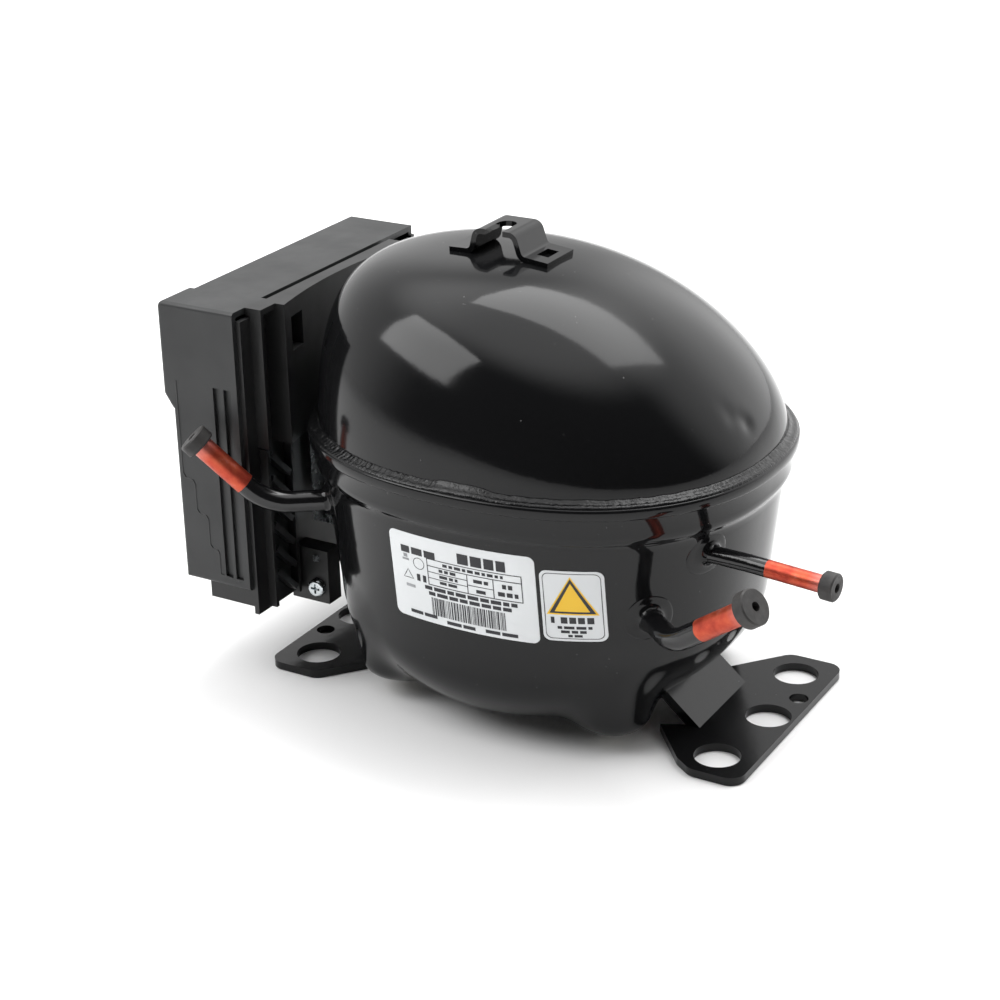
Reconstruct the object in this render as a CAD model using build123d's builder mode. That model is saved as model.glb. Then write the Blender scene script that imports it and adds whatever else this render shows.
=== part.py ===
from build123d import *
import math
import os

os.makedirs("parts", exist_ok=True)

# Hermetic reciprocating compressor with a plug-on inverter box.
# Millimetres.  The origin is the centre of the base bolt pattern on the
# underside of the base plates.  +X points to the tube end, -X to the inverter
# box, -Y to the label side and +Z up.

# ---- driving dimensions -------------------------------------------------
BOLT_PATTERN_X = 170.0
BOLT_PATTERN_Y = 70.0
BASE_SHEET = 3.0
BASE_LENGTH = 198.0
GROMMET_HOLE = 17.0

PLAN_HALF_X = 90.0          # seam lip, half length
PLAN_HALF_Y = 77.9          # seam lip, half width
PLAN_POWER = 2.26           # exponent of the rounded plan outline
SHELL_WALL = 3.0
SEAM_Z = 103.0              # top of the seam lip
LIP_HEIGHT = 4.3
BELT_INSET = 2.0
RIM_INSET = 4.0             # outside of the dome, inside of the belt
BELT_BOTTOM = 88.0
BOWL_BOTTOM = 13.0
BOWL_INSET_TOP = 4.6
BOWL_INSET_BOTTOM = 13.0
BOWL_RADIUS = 33.0
DOME_HEIGHT = 63.3
DOME_RISE_POWER = 1.198     # height grows with sin(angle) to this power
DOME_PLAN_POWER = 0.623     # width falls with cos(angle) to this power
APEX_X = -22.9
APEX_Y = -3.1
FOOT_X = 46.0               # spring lobes and stator bolts
FOOT_Y = 39.0
LOBE_RADIUS = 13.0
LOBE_BOTTOM = 3.2
LOBE_HEIGHT = 42.0

STROKE = 18.4
CRANK_RADIUS = STROKE / 2
CYLINDER_BORE = 25.0
CYLINDER_Z = 127.0
SHAFT = 15.9
CRANK_PIN = 12.0
FIT = 0.05                  # radial running clearance

STATOR_BOTTOM = 50.0
STATOR_TOP = 84.0
STATOR_BORE = 54.0
AIR_GAP = 0.5
HUB_BOTTOM = 72.0
PLATE_BOTTOM = 96.0
PLATE_TOP = 106.0

BOX_X = -97.0               # plane between the inverter base and its cover
COVER_X = -127.0
COVER_FRONT_Y = -60.0
COVER_REAR_Y = 63.0
COVER_BOTTOM = 37.0
BOX_TOP = 147.0
PLASTIC = 2.2


# ---- helpers ------------------------------------------------------------
def save(piece, name):
    """Label a finished piece and write its STEP file."""
    piece.part.label = name
    export_step(piece.part, f"parts/{name}.step")


def plan_points(half_x, half_y, centre_x=0.0, centre_y=0.0, power=PLAN_POWER, count=24):
    """Points of a rounded oval |x/a|^n + |y/b|^n = 1."""
    points = []
    for i in range(count):
        angle = 2 * math.pi * i / count
        across = math.cos(angle)
        along = math.sin(angle)
        x = half_x * math.copysign(abs(across) ** (2 / power), across)
        y = half_y * math.copysign(abs(along) ** (2 / power), along)
        points.append((centre_x + x, centre_y + y))
    return points


def plan(height, inset):
    """The seam's plan outline, shrunk by an inset, as a face at a height."""
    with BuildSketch(Plane.XY.offset(height)) as outline:
        with BuildLine():
            Spline(*plan_points(PLAN_HALF_X - inset, PLAN_HALF_Y - inset), periodic=True)
        make_face()
    return outline.sketch


def dome_section(degrees, wall):
    """One horizontal section of the dome, at an angle above its rim."""
    rise = math.sin(math.radians(degrees))
    width = math.cos(math.radians(degrees)) ** DOME_PLAN_POWER
    power = PLAN_POWER + (2.0 - PLAN_POWER) * rise ** 2
    height = SEAM_Z + (DOME_HEIGHT - wall) * rise ** DOME_RISE_POWER
    half_x = (PLAN_HALF_X - RIM_INSET - wall) * width
    half_y = (PLAN_HALF_Y - RIM_INSET - wall) * width
    points = plan_points(half_x, half_y, APEX_X * rise ** 2, APEX_Y * rise ** 2, power)
    with BuildSketch(Plane.XY.offset(height)) as outline:
        with BuildLine():
            Spline(*points, periodic=True)
        make_face()
    return outline.sketch


def dome_solid(wall):
    """The solid under the dome surface, shrunk by a wall thickness."""
    sections = [dome_section(angle, wall) for angle in range(0, 90, 9)]
    apex = Vertex(APEX_X, APEX_Y, SEAM_Z + DOME_HEIGHT - wall)
    with BuildPart() as dome:
        loft(sections=[*sections, apex])
        extrude(plan(SEAM_Z, RIM_INSET + wall), amount=-(SEAM_Z - BELT_BOTTOM - SHELL_WALL))
    return dome.part


def bowl_solid(wall):
    """The solid inside the lower shell's bowl and its four spring lobes."""
    top = BELT_BOTTOM + wall
    bottom = BOWL_BOTTOM + wall
    with BuildPart(mode=Mode.PRIVATE) as lobe:
        Cylinder(LOBE_RADIUS - wall, LOBE_HEIGHT, align=(Align.CENTER, Align.CENTER, Align.MIN))
        fillet(lobe.edges().group_by(Axis.Z)[0], (LOBE_RADIUS - wall) * 0.5)
    with BuildPart() as bowl:
        loft(sections=[plan(top, BOWL_INSET_TOP + wall), plan(bottom, BOWL_INSET_BOTTOM + wall)])
        fillet(bowl.edges().group_by(Axis.Z)[0], BOWL_RADIUS - wall)
        with Locations((0, 0, LOBE_BOTTOM + wall)):
            with GridLocations(2 * FOOT_X, 2 * FOOT_Y, 2, 2):
                add(lobe.part)
    return bowl.part


def tube_along(points, radii, diameter, bore=0.0):
    """A tube along straight runs joined by tangent arcs."""
    with BuildPart() as tube:
        with BuildLine() as path:
            FilletPolyline(*points, radius=radii)
        with BuildSketch(path.line ^ 0):
            Circle(diameter / 2)
            if bore > 0:
                Circle(bore / 2, mode=Mode.SUBTRACT)
        sweep()
    return tube.part


bowl_outside = bowl_solid(0.0)
bowl_inside = bowl_solid(SHELL_WALL)
dome_outside = dome_solid(0.0)
dome_inside = dome_solid(SHELL_WALL)
lowest_lip = SEAM_Z - LIP_HEIGHT

# ---- tubes through the lower shell --------------------------------------
# Each tube leaves the shell along its run, bends once and ends in a plug.
SUCTION_OD = 8.0
SUCTION_ROUTE = [(58.0, -42.5, 58.0), (79.5, -61.0, 58.0), (107.8, -66.0, 78.5)]
DISCHARGE_OD = 6.35
DISCHARGE_ROUTE = [(72.0, -31.5, 79.0), (93.0, -31.9, 78.6), (122.0, -34.3, 77.8)]
PROCESS_OD = 8.0
PROCESS_ROUTE = [(-61.0, -43.5, 76.0), (-86.0, -61.0, 76.0), (-106.0, -71.0, 98.5)]
TUBE_WALL = 0.8
SUCTION_BEND = 16.0
DISCHARGE_BEND = 60.0
PROCESS_BEND = 22.0
SUCTION_CAP = 6.5
DISCHARGE_CAP = 5.0
PROCESS_CAP = 5.9
ROUTES = {
    "suction": (SUCTION_ROUTE, SUCTION_OD, SUCTION_BEND, SUCTION_CAP),
    "discharge": (DISCHARGE_ROUTE, DISCHARGE_OD, DISCHARGE_BEND, DISCHARGE_CAP),
    "process": (PROCESS_ROUTE, PROCESS_OD, PROCESS_BEND, PROCESS_CAP),
}

# ---- lower shell --------------------------------------------------------
TERMINAL_Z = 70.0
TERMINAL_RADIUS = 13.4
HOLE_LEAD = 6.0             # a tube hole starts this far inside its tube's inner end
with BuildPart() as lower_shell:
    add(bowl_outside)
    extrude(plan(BELT_BOTTOM, BELT_INSET), amount=lowest_lip - BELT_BOTTOM)
    extrude(plan(lowest_lip, 0.0), amount=LIP_HEIGHT)
    add(bowl_inside, mode=Mode.SUBTRACT)
    extrude(plan(SEAM_Z, RIM_INSET), amount=-(SEAM_Z - BELT_BOTTOM - SHELL_WALL), mode=Mode.SUBTRACT)
    for route, outer, _, _ in ROUTES.values():
        start = Vector(*route[0])
        run = Vector(*route[1]) - start
        with BuildSketch(Plane(origin=start - run.normalized() * HOLE_LEAD, z_dir=run)) as hole:
            Circle(outer / 2)
        extrude(hole.sketch, amount=run.length + HOLE_LEAD, mode=Mode.SUBTRACT)
    with BuildSketch(Plane.YZ.offset(-PLAN_HALF_X)) as terminal_hole:
        with Locations((0, TERMINAL_Z)):
            Circle(TERMINAL_RADIUS)
    extrude(terminal_hole.sketch, amount=20, mode=Mode.SUBTRACT)
save(lower_shell, "lower_shell")

# ---- upper shell --------------------------------------------------------
with BuildPart() as upper_shell:
    add(dome_outside)
    add(dome_inside, mode=Mode.SUBTRACT)
save(upper_shell, "upper_shell")

# ---- seam weld: a bead in the corner between lip and dome ---------------
BEAD_HEIGHT = 3.0
BEAD_INSET = 0.9
with BuildPart() as seam_weld:
    extrude(plan(SEAM_Z, BEAD_INSET), amount=BEAD_HEIGHT)
    top_rim = seam_weld.edges().group_by(Axis.Z)[-1]
    fillet(top_rim, BEAD_HEIGHT * 0.6)
    add(dome_outside, mode=Mode.SUBTRACT)
save(seam_weld, "seam_weld")

# ---- base plates --------------------------------------------------------
HOLE_X = BOLT_PATTERN_X / 2
HOLE_Y = BOLT_PATTERN_Y / 2
EDGE_X = BASE_LENGTH / 2
FOLD_X = 71.0
TONGUE_HALF = 20.0
TONGUE_END_X = 50.0         # the tongue rises from the fold to the bowl's underside
TONGUE_END_Z = 21.0
TONGUE_DROP = 2.3           # sheet thickness measured straight down and inward
SMALL_HOLE = 7.2
with BuildPart() as base_plate_right:
    with BuildSketch() as plate:
        with BuildLine():
            Polyline(
                (EDGE_X, -48), (EDGE_X, 49), (77, 49), (60, 28), (FOLD_X, TONGUE_HALF),
                (FOLD_X - 5, -TONGUE_HALF), (57, -24), (73, -43), (80, -48), close=True,
            )
        make_face()
        corners = plate.vertices().filter_by_position(Axis.X, FOLD_X + 1, EDGE_X + 1)
        fillet(corners, 6)
        with Locations((HOLE_X, -HOLE_Y), (HOLE_X, HOLE_Y), (HOLE_X + 4.1, 0)):
            Circle(GROMMET_HOLE / 2, mode=Mode.SUBTRACT)
        with Locations((HOLE_X + 8.7, 17.4)):
            Circle(SMALL_HOLE / 2, mode=Mode.SUBTRACT)
    extrude(amount=BASE_SHEET)
    with BuildSketch(Plane.XZ.offset(-TONGUE_HALF)) as tongue:
        with BuildLine():
            Polyline(
                (FOLD_X + 3, 0), (FOLD_X + 3, BASE_SHEET), (FOLD_X, BASE_SHEET), (TONGUE_END_X, TONGUE_END_Z),
                (TONGUE_END_X - TONGUE_DROP, TONGUE_END_Z - TONGUE_DROP), (FOLD_X - TONGUE_DROP, 0), close=True,
            )
        make_face()
    extrude(tongue.sketch, amount=2 * TONGUE_HALF)
    add(bowl_outside, mode=Mode.SUBTRACT)
save(base_plate_right, "base_plate_right")

with BuildPart() as base_plate_left:
    add(base_plate_right.part.rotate(Axis.Z, 180))
    add(bowl_outside, mode=Mode.SUBTRACT)
save(base_plate_left, "base_plate_left")

# ---- bracket on the dome ------------------------------------------------
BRACKET_X = -14.0
BRACKET_Y = -3.0
BRACKET_WIDTH = 19.0
BRACKET_SHEET = 2.0
BRACKET_RISE = 8.0
BRACKET_BEND = 3.0
FOOT_Z = 167.0
with BuildPart() as top_bracket:
    with BuildSketch(Plane.XZ.offset(-BRACKET_Y - BRACKET_WIDTH / 2)) as hat:
        with BuildLine(mode=Mode.PRIVATE) as hat_line:
            FilletPolyline(
                (BRACKET_X - 20, FOOT_Z - 0.3), (BRACKET_X - 11, FOOT_Z), (BRACKET_X - 9, FOOT_Z + BRACKET_RISE),
                (BRACKET_X + 6.5, FOOT_Z + BRACKET_RISE), (BRACKET_X + 9, FOOT_Z), (BRACKET_X + 20, FOOT_Z - 1.2),
                radius=BRACKET_BEND,
            )
        trace(hat_line.line, BRACKET_SHEET)
    extrude(hat.sketch, amount=BRACKET_WIDTH)
    with BuildSketch(Plane.XY.offset(FOOT_Z + BRACKET_RISE / 2)) as slot:
        with Locations((BRACKET_X - 1.5, BRACKET_Y - BRACKET_WIDTH / 2)):
            SlotOverall(26, 7, rotation=90)
    extrude(slot.sketch, amount=BRACKET_RISE, mode=Mode.SUBTRACT)
    with BuildSketch(Plane.XY.offset(FOOT_Z - 4)) as window:
        with Locations((BRACKET_X + 15, BRACKET_Y)):
            Rectangle(4.5, 8)
    extrude(window.sketch, amount=BRACKET_RISE, mode=Mode.SUBTRACT)
    add(dome_outside, mode=Mode.SUBTRACT)
save(top_bracket, "top_bracket")

# ---- tubes and their rubber plugs ---------------------------------------
PLUG_LENGTH = 5.0
PLUG_SPIGOT = 6.0
PLUG_HOLE = 3.4
PLUG_EDGE = 0.5
for tube_name, (route, outer, bend, cap_radius) in ROUTES.items():
    tube_part = tube_along(route, bend, outer, outer - 2 * TUBE_WALL)
    with BuildPart() as tube:
        add(tube_part)
    save(tube, f"{tube_name}_tube")
    end = Vector(*route[-1])
    outward = (end - Vector(*route[-2])).normalized()
    with BuildPart() as plug:
        with BuildSketch(Plane(origin=end, z_dir=outward)) as cap:
            Circle(cap_radius)
        extrude(cap.sketch, amount=PLUG_LENGTH)
        chamfer(plug.edges(), PLUG_EDGE)
        with BuildSketch(Plane(origin=end, z_dir=outward)) as spigot:
            Circle(outer / 2 - TUBE_WALL - FIT)
        extrude(spigot.sketch, amount=-PLUG_SPIGOT)
        with BuildSketch(Plane(origin=end + outward * PLUG_LENGTH, z_dir=outward)) as dimple:
            Circle(PLUG_HOLE / 2)
        extrude(dimple.sketch, amount=-PLUG_LENGTH, mode=Mode.SUBTRACT)
    save(plug, f"{tube_name}_plug")

# ---- labels, bent to the shell ------------------------------------------
LABEL_THICKNESS = 0.25


def label_solid(name, from_x, to_x, from_z, to_z):
    """A thin skin that follows the lower shell between two X and two Z limits."""
    skin = bowl_outside.moved(Location((0, -LABEL_THICKNESS, 0)))
    with BuildPart() as label:
        with BuildSketch(Plane.XZ.offset(20)) as field:
            with Locations(((from_x + to_x) / 2, (from_z + to_z) / 2)):
                RectangleRounded(to_x - from_x, to_z - from_z, 2.5)
        extrude(field.sketch, amount=80)
        add(skin, mode=Mode.INTERSECT)
        add(bowl_outside, mode=Mode.SUBTRACT)
    save(label, name)


label_solid("rating_label", -26.5, 31.0, 48.0, 82.6)
label_solid("hazard_label", 32.4, 52.8, 50.0, 78.0)

# ---- hermetic terminal --------------------------------------------------
PIN_CIRCLE = 6.4
PIN_RADIUS = 1.15
GLASS_RADIUS = 2.6
TERMINAL_OUT_X = -87.0
TERMINAL_IN_X = -81.0
with BuildPart() as terminal_body:
    with BuildSketch(Plane.YZ.offset(TERMINAL_OUT_X)) as disc:
        with Locations((0, TERMINAL_Z)):
            Circle(TERMINAL_RADIUS)
            with PolarLocations(PIN_CIRCLE, 3, 90):
                Circle(GLASS_RADIUS, mode=Mode.SUBTRACT)
    extrude(disc.sketch, amount=TERMINAL_IN_X - TERMINAL_OUT_X)
save(terminal_body, "terminal_body")

with BuildPart() as terminal_glass:
    with BuildSketch(Plane.YZ.offset(TERMINAL_OUT_X - 1)) as beads:
        with Locations((0, TERMINAL_Z)):
            with PolarLocations(PIN_CIRCLE, 3, 90):
                Circle(GLASS_RADIUS)
                Circle(PIN_RADIUS, mode=Mode.SUBTRACT)
    extrude(beads.sketch, amount=TERMINAL_IN_X - TERMINAL_OUT_X + 2)
save(terminal_glass, "terminal_glass")

with BuildPart() as terminal_pins:
    with BuildSketch(Plane.YZ.offset(-98.5)) as rods:
        with Locations((0, TERMINAL_Z)):
            with PolarLocations(PIN_CIRCLE, 3, 90):
                Circle(PIN_RADIUS)
    extrude(rods.sketch, amount=28)
save(terminal_pins, "terminal_pins")

with BuildPart() as terminal_fence:
    with BuildSketch(Plane.YZ.offset(-92.5)) as rails:
        with Locations((0, TERMINAL_Z)):
            with GridLocations(44, 0, 2, 1):
                Rectangle(1.6, 34)
    extrude(rails.sketch, amount=16)
    add(bowl_outside, mode=Mode.SUBTRACT)
save(terminal_fence, "terminal_fence")

# ---- suspension ---------------------------------------------------------
SPRING_RADIUS = 6.8
SPRING_WIRE = 1.8
SEAT_Z = LOBE_BOTTOM + SHELL_WALL
SPRING_BOTTOM = SEAT_Z + 7
SPRING_TOP = 39.0
SPRING_TURNS = 5
with BuildPart() as lower_spring_seats:
    with BuildSketch(Plane.XY.offset(SEAT_Z)) as seats:
        with GridLocations(2 * FOOT_X, 2 * FOOT_Y, 2, 2):
            Circle(5.0)
    extrude(seats.sketch, amount=SPRING_BOTTOM - SEAT_Z)
    with BuildSketch(Plane.XY.offset(SPRING_BOTTOM)) as stubs:
        with GridLocations(2 * FOOT_X, 2 * FOOT_Y, 2, 2):
            Circle(4.2)
    extrude(stubs.sketch, amount=6)
    with BuildSketch(Plane.XY.offset(SPRING_BOTTOM - 2)) as collars:
        with GridLocations(2 * FOOT_X, 2 * FOOT_Y, 2, 2):
            Circle(SPRING_RADIUS + SPRING_WIRE / 2)
    extrude(collars.sketch, amount=2)
save(lower_spring_seats, "lower_spring_seats")

with BuildPart() as upper_spring_seats:
    with BuildSketch(Plane.XY.offset(SPRING_TOP)) as collars:
        with GridLocations(2 * FOOT_X, 2 * FOOT_Y, 2, 2):
            Circle(SPRING_RADIUS + SPRING_WIRE / 2)
    extrude(collars.sketch, amount=2)
    with BuildSketch(Plane.XY.offset(SPRING_TOP - 6)) as stubs:
        with GridLocations(2 * FOOT_X, 2 * FOOT_Y, 2, 2):
            Circle(4.2)
    extrude(stubs.sketch, amount=6)
save(upper_spring_seats, "upper_spring_seats")

spring_rise = SPRING_TOP - SPRING_BOTTOM - SPRING_WIRE
with BuildPart() as coil:
    with BuildLine() as turns:
        Helix(pitch=spring_rise / SPRING_TURNS, height=spring_rise, radius=SPRING_RADIUS)
    with BuildSketch(turns.line ^ 0):
        Circle(SPRING_WIRE / 2 - 0.02)
    sweep()
with BuildPart() as suspension_springs:
    with Locations((0, 0, SPRING_BOTTOM + SPRING_WIRE / 2)):
        with GridLocations(2 * FOOT_X, 2 * FOOT_Y, 2, 2):
            add(coil.part)
save(suspension_springs, "suspension_springs")

# ---- motor --------------------------------------------------------------
STATOR_HALF_X = 54.0
STATOR_HALF_Y = 47.0
SLOT_COUNT = 6
TOOTH_WIDTH = 11.0
TOOTH_TIP = 4.0
YOKE_RADIUS = 41.6
BOLT_HOLE = 5.4
with BuildPart() as stator_core:
    with BuildSketch(Plane.XY.offset(STATOR_BOTTOM)) as lamination:
        RectangleRounded(2 * STATOR_HALF_X, 2 * STATOR_HALF_Y, 12)
        Circle(YOKE_RADIUS, mode=Mode.SUBTRACT)
        with PolarLocations(STATOR_BORE / 2 + 8.5, SLOT_COUNT):
            Rectangle(17, TOOTH_WIDTH)
        with PolarLocations(STATOR_BORE / 2 + TOOTH_TIP / 2, SLOT_COUNT):
            Rectangle(TOOTH_TIP, 22)
        Circle(STATOR_BORE / 2, mode=Mode.SUBTRACT)
        with GridLocations(2 * FOOT_X, 2 * FOOT_Y, 2, 2):
            Circle(BOLT_HOLE / 2, mode=Mode.SUBTRACT)
    extrude(amount=STATOR_TOP - STATOR_BOTTOM)
save(stator_core, "stator_core")

COIL_BUILD = 3.4
INSULATION = 0.7
COIL_LENGTH = 7.4
COIL_MID = STATOR_BORE / 2 + TOOTH_TIP + 1 + COIL_LENGTH / 2


def tooth_ring(width_in, height_in, build, length):
    """Six rectangular rings around the stator teeth."""
    middle = (STATOR_BOTTOM + STATOR_TOP) / 2
    with BuildPart() as rings:
        for i in range(SLOT_COUNT):
            angle = math.radians(360 / SLOT_COUNT * i)
            radial = Vector(math.cos(angle), math.sin(angle), 0)
            face = Plane(
                origin=radial * (COIL_MID - length / 2) + Vector(0, 0, middle),
                x_dir=Vector(-math.sin(angle), math.cos(angle), 0),
                z_dir=radial,
            )
            with BuildSketch(face) as ring:
                RectangleRounded(width_in + 2 * build, height_in + 2 * build, build * 0.9)
                Rectangle(width_in, height_in, mode=Mode.SUBTRACT)
            extrude(ring.sketch, amount=length)
    return rings.part


stack = STATOR_TOP - STATOR_BOTTOM
with BuildPart() as stator_insulators:
    add(tooth_ring(TOOTH_WIDTH, stack, INSULATION, COIL_LENGTH + 0.8))
save(stator_insulators, "stator_insulators")
with BuildPart() as stator_windings:
    add(tooth_ring(TOOTH_WIDTH + 2 * INSULATION, stack + 2 * INSULATION, COIL_BUILD, COIL_LENGTH))
save(stator_windings, "stator_windings")

ROTOR_BOTTOM = 48.5
ROTOR_TOP = 86.0
ROTOR_RADIUS = STATOR_BORE / 2 - AIR_GAP
ROTOR_SEAT_TOP = 69.0
MAGNET_COUNT = 4
MAGNET_WIDTH = 28.0
MAGNET_THICKNESS = 4.0
MAGNET_RADIUS = 19.2
END_RING = 1.5
with BuildPart() as rotor_core:
    with BuildSketch(Plane.XY.offset(ROTOR_BOTTOM + END_RING)) as disc:
        Circle(ROTOR_RADIUS)
        Circle(SHAFT / 2, mode=Mode.SUBTRACT)
        with PolarLocations(MAGNET_RADIUS, MAGNET_COUNT):
            Rectangle(MAGNET_THICKNESS, MAGNET_WIDTH, mode=Mode.SUBTRACT)
    extrude(amount=ROTOR_TOP - ROTOR_BOTTOM - 2 * END_RING)
    with BuildSketch(Plane.XY.offset(ROTOR_SEAT_TOP)) as recess:
        Circle(16.4)
    extrude(recess.sketch, amount=20, mode=Mode.SUBTRACT)
save(rotor_core, "rotor_core")

with BuildPart() as rotor_magnets:
    with BuildSketch(Plane.XY.offset(ROTOR_BOTTOM + END_RING)) as bars:
        with PolarLocations(MAGNET_RADIUS, MAGNET_COUNT):
            Rectangle(MAGNET_THICKNESS, MAGNET_WIDTH)
    extrude(amount=ROTOR_TOP - ROTOR_BOTTOM - 2 * END_RING)
save(rotor_magnets, "rotor_magnets")

with BuildPart() as rotor_end_rings:
    with BuildSketch(Plane.XY.offset(ROTOR_BOTTOM)) as ring:
        Circle(ROTOR_RADIUS - 0.5)
        Circle(10, mode=Mode.SUBTRACT)
    extrude(ring.sketch, amount=END_RING)
    with BuildSketch(Plane.XY.offset(ROTOR_TOP - END_RING)) as ring:
        Circle(ROTOR_RADIUS - 0.5)
        Circle(16.6, mode=Mode.SUBTRACT)
    extrude(ring.sketch, amount=END_RING)
save(rotor_end_rings, "rotor_end_rings")

# ---- pump: crankcase with horizontal cylinder ---------------------------
HUB_RADIUS = 14.5
BLOCK_FACE_X = -53.4
BLOCK_INNER_X = -22.5
BLOCK_HALF_Y = 20.0
BLOCK_HALF_Z = 17.0
MUFFLER_X = 31.0
MUFFLER_Y = -29.0
with BuildPart() as cylinder_block:
    with BuildSketch(Plane.XY.offset(PLATE_BOTTOM)) as web:
        Circle(34)
        with BuildLine():
            Polyline(
                (-FOOT_X, -FOOT_Y), (-FOOT_X + 10, -FOOT_Y), (FOOT_X - 10, -FOOT_Y), (FOOT_X, -FOOT_Y),
                (FOOT_X, FOOT_Y), (-FOOT_X, FOOT_Y), close=True,
            )
        make_face()
        with GridLocations(2 * FOOT_X, 2 * FOOT_Y, 2, 2):
            Circle(8)
        with Locations((26, 22), (-8, 29), (0, -29)):
            Circle(7, mode=Mode.SUBTRACT)
    extrude(web.sketch, amount=PLATE_TOP - PLATE_BOTTOM)
    with BuildSketch(Plane.XY.offset(STATOR_TOP)) as legs:
        with GridLocations(2 * FOOT_X, 2 * FOOT_Y, 2, 2):
            Circle(7.5)
    extrude(legs.sketch, amount=PLATE_BOTTOM - STATOR_TOP)
    with BuildSketch(Plane.XY.offset(HUB_BOTTOM)) as hub:
        Circle(HUB_RADIUS)
    extrude(hub.sketch, amount=PLATE_BOTTOM - HUB_BOTTOM)
    with BuildSketch(Plane.YZ.offset(BLOCK_FACE_X)) as body:
        with Locations((0, CYLINDER_Z)):
            RectangleRounded(2 * BLOCK_HALF_Y, 2 * BLOCK_HALF_Z, 4)
        with Locations((0, CYLINDER_Z - BLOCK_HALF_Z)):
            Rectangle(2 * BLOCK_HALF_Y - 4, 16)
    extrude(body.sketch, amount=BLOCK_INNER_X - BLOCK_FACE_X)
    with BuildSketch(Plane.YZ.offset(BLOCK_FACE_X)) as bore:
        with Locations((0, CYLINDER_Z)):
            Circle(CYLINDER_BORE / 2)
    extrude(bore.sketch, amount=BLOCK_INNER_X - BLOCK_FACE_X, mode=Mode.SUBTRACT)
    with BuildSketch(Plane.YZ.offset(BLOCK_FACE_X)) as tapped:
        with Locations((0, CYLINDER_Z)):
            with GridLocations(31, 25, 2, 2):
                Circle(2.5)
    extrude(tapped.sketch, amount=16, mode=Mode.SUBTRACT)
    with BuildPart(mode=Mode.PRIVATE) as muffler_dome:
        with Locations((MUFFLER_X, MUFFLER_Y, PLATE_TOP - 1)):
            Cylinder(11, 17, align=(Align.CENTER, Align.CENTER, Align.MIN))
        fillet(muffler_dome.edges().group_by(Axis.Z)[-1], 5)
    add(muffler_dome.part)
    with BuildSketch(Plane.XY.offset(PLATE_BOTTOM)) as chamber:
        with Locations((MUFFLER_X, MUFFLER_Y)):
            Circle(8)
    extrude(chamber.sketch, amount=PLATE_TOP - PLATE_BOTTOM + 10, mode=Mode.SUBTRACT)
    with BuildSketch(Plane.XY.offset(HUB_BOTTOM)) as journal:
        Circle(SHAFT / 2 + FIT)
    extrude(journal.sketch, amount=PLATE_TOP - HUB_BOTTOM, mode=Mode.SUBTRACT)
    with BuildSketch(Plane.XY.offset(STATOR_TOP)) as bolt_ways:
        with GridLocations(2 * FOOT_X, 2 * FOOT_Y, 2, 2):
            Circle(BOLT_HOLE / 2)
    extrude(bolt_ways.sketch, amount=PLATE_TOP - STATOR_TOP, mode=Mode.SUBTRACT)
save(cylinder_block, "cylinder_block")

with BuildPart() as stator_bolts:
    with BuildSketch(Plane.XY.offset(SPRING_TOP + 2)) as shanks:
        with GridLocations(2 * FOOT_X, 2 * FOOT_Y, 2, 2):
            Circle(BOLT_HOLE / 2)
    extrude(shanks.sketch, amount=PLATE_TOP - SPRING_TOP - 2)
    with BuildSketch(Plane.XY.offset(PLATE_TOP)) as heads:
        with GridLocations(2 * FOOT_X, 2 * FOOT_Y, 2, 2):
            RegularPolygon(4.6, 6)
    extrude(heads.sketch, amount=3.6)
    with BuildSketch(Plane.XY.offset(SPRING_TOP + 2)) as ends:
        with GridLocations(2 * FOOT_X, 2 * FOOT_Y, 2, 2):
            RegularPolygon(4.6, 6)
    extrude(ends.sketch, amount=STATOR_BOTTOM - SPRING_TOP - 2)
save(stator_bolts, "stator_bolts")

# ---- crankshaft, oil pickup and thrust bearing --------------------------
THRUST_TOP = PLATE_TOP + 1.6
WEB_TOP = THRUST_TOP + 5.4
PIN_TOP = CYLINDER_Z + 6
SHAFT_BOTTOM = 26.0
PICKUP_OD = 6.0
PICKUP_BOTTOM = 20.0
GALLERY_RADIUS = 1.2
GALLERY_DEPTH = 6.0
with BuildPart() as crankshaft:
    with BuildSketch(Plane.XY.offset(SHAFT_BOTTOM)) as main:
        Circle(SHAFT / 2)
    extrude(main.sketch, amount=THRUST_TOP - SHAFT_BOTTOM)
    with BuildSketch(Plane.XY.offset(THRUST_TOP)) as web:
        Circle(13)
        with Locations((CRANK_RADIUS, 0)):
            Circle(9)
        with BuildLine():
            CenterArc((0, 0), 21, 110, 140)
            Line((21 * math.cos(math.radians(250)), 21 * math.sin(math.radians(250))), (0, 0))
            Line((0, 0), (21 * math.cos(math.radians(110)), 21 * math.sin(math.radians(110))))
        make_face()
    extrude(web.sketch, amount=WEB_TOP - THRUST_TOP)
    with BuildSketch(Plane.XY.offset(WEB_TOP)) as pin:
        with Locations((CRANK_RADIUS, 0)):
            Circle(CRANK_PIN / 2)
    extrude(pin.sketch, amount=PIN_TOP - WEB_TOP)
    with BuildSketch(Plane.XY.offset(SHAFT_BOTTOM)) as pickup_bore:
        Circle(PICKUP_OD / 2)
    extrude(pickup_bore.sketch, amount=14, mode=Mode.SUBTRACT)
    with BuildSketch(Plane.XY.offset(SHAFT_BOTTOM)) as gallery:
        with Locations((CRANK_RADIUS / 2, 0)):
            Circle(GALLERY_RADIUS + FIT)
    extrude(gallery.sketch, amount=GALLERY_DEPTH + FIT, mode=Mode.SUBTRACT)
save(crankshaft, "crankshaft")

with BuildPart() as gallery_plug:
    with BuildSketch(Plane.XY.offset(SHAFT_BOTTOM)) as disc:
        with Locations((CRANK_RADIUS / 2, 0)):
            Circle(GALLERY_RADIUS)
    extrude(disc.sketch, amount=GALLERY_DEPTH)
save(gallery_plug, "gallery_plug")

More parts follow.
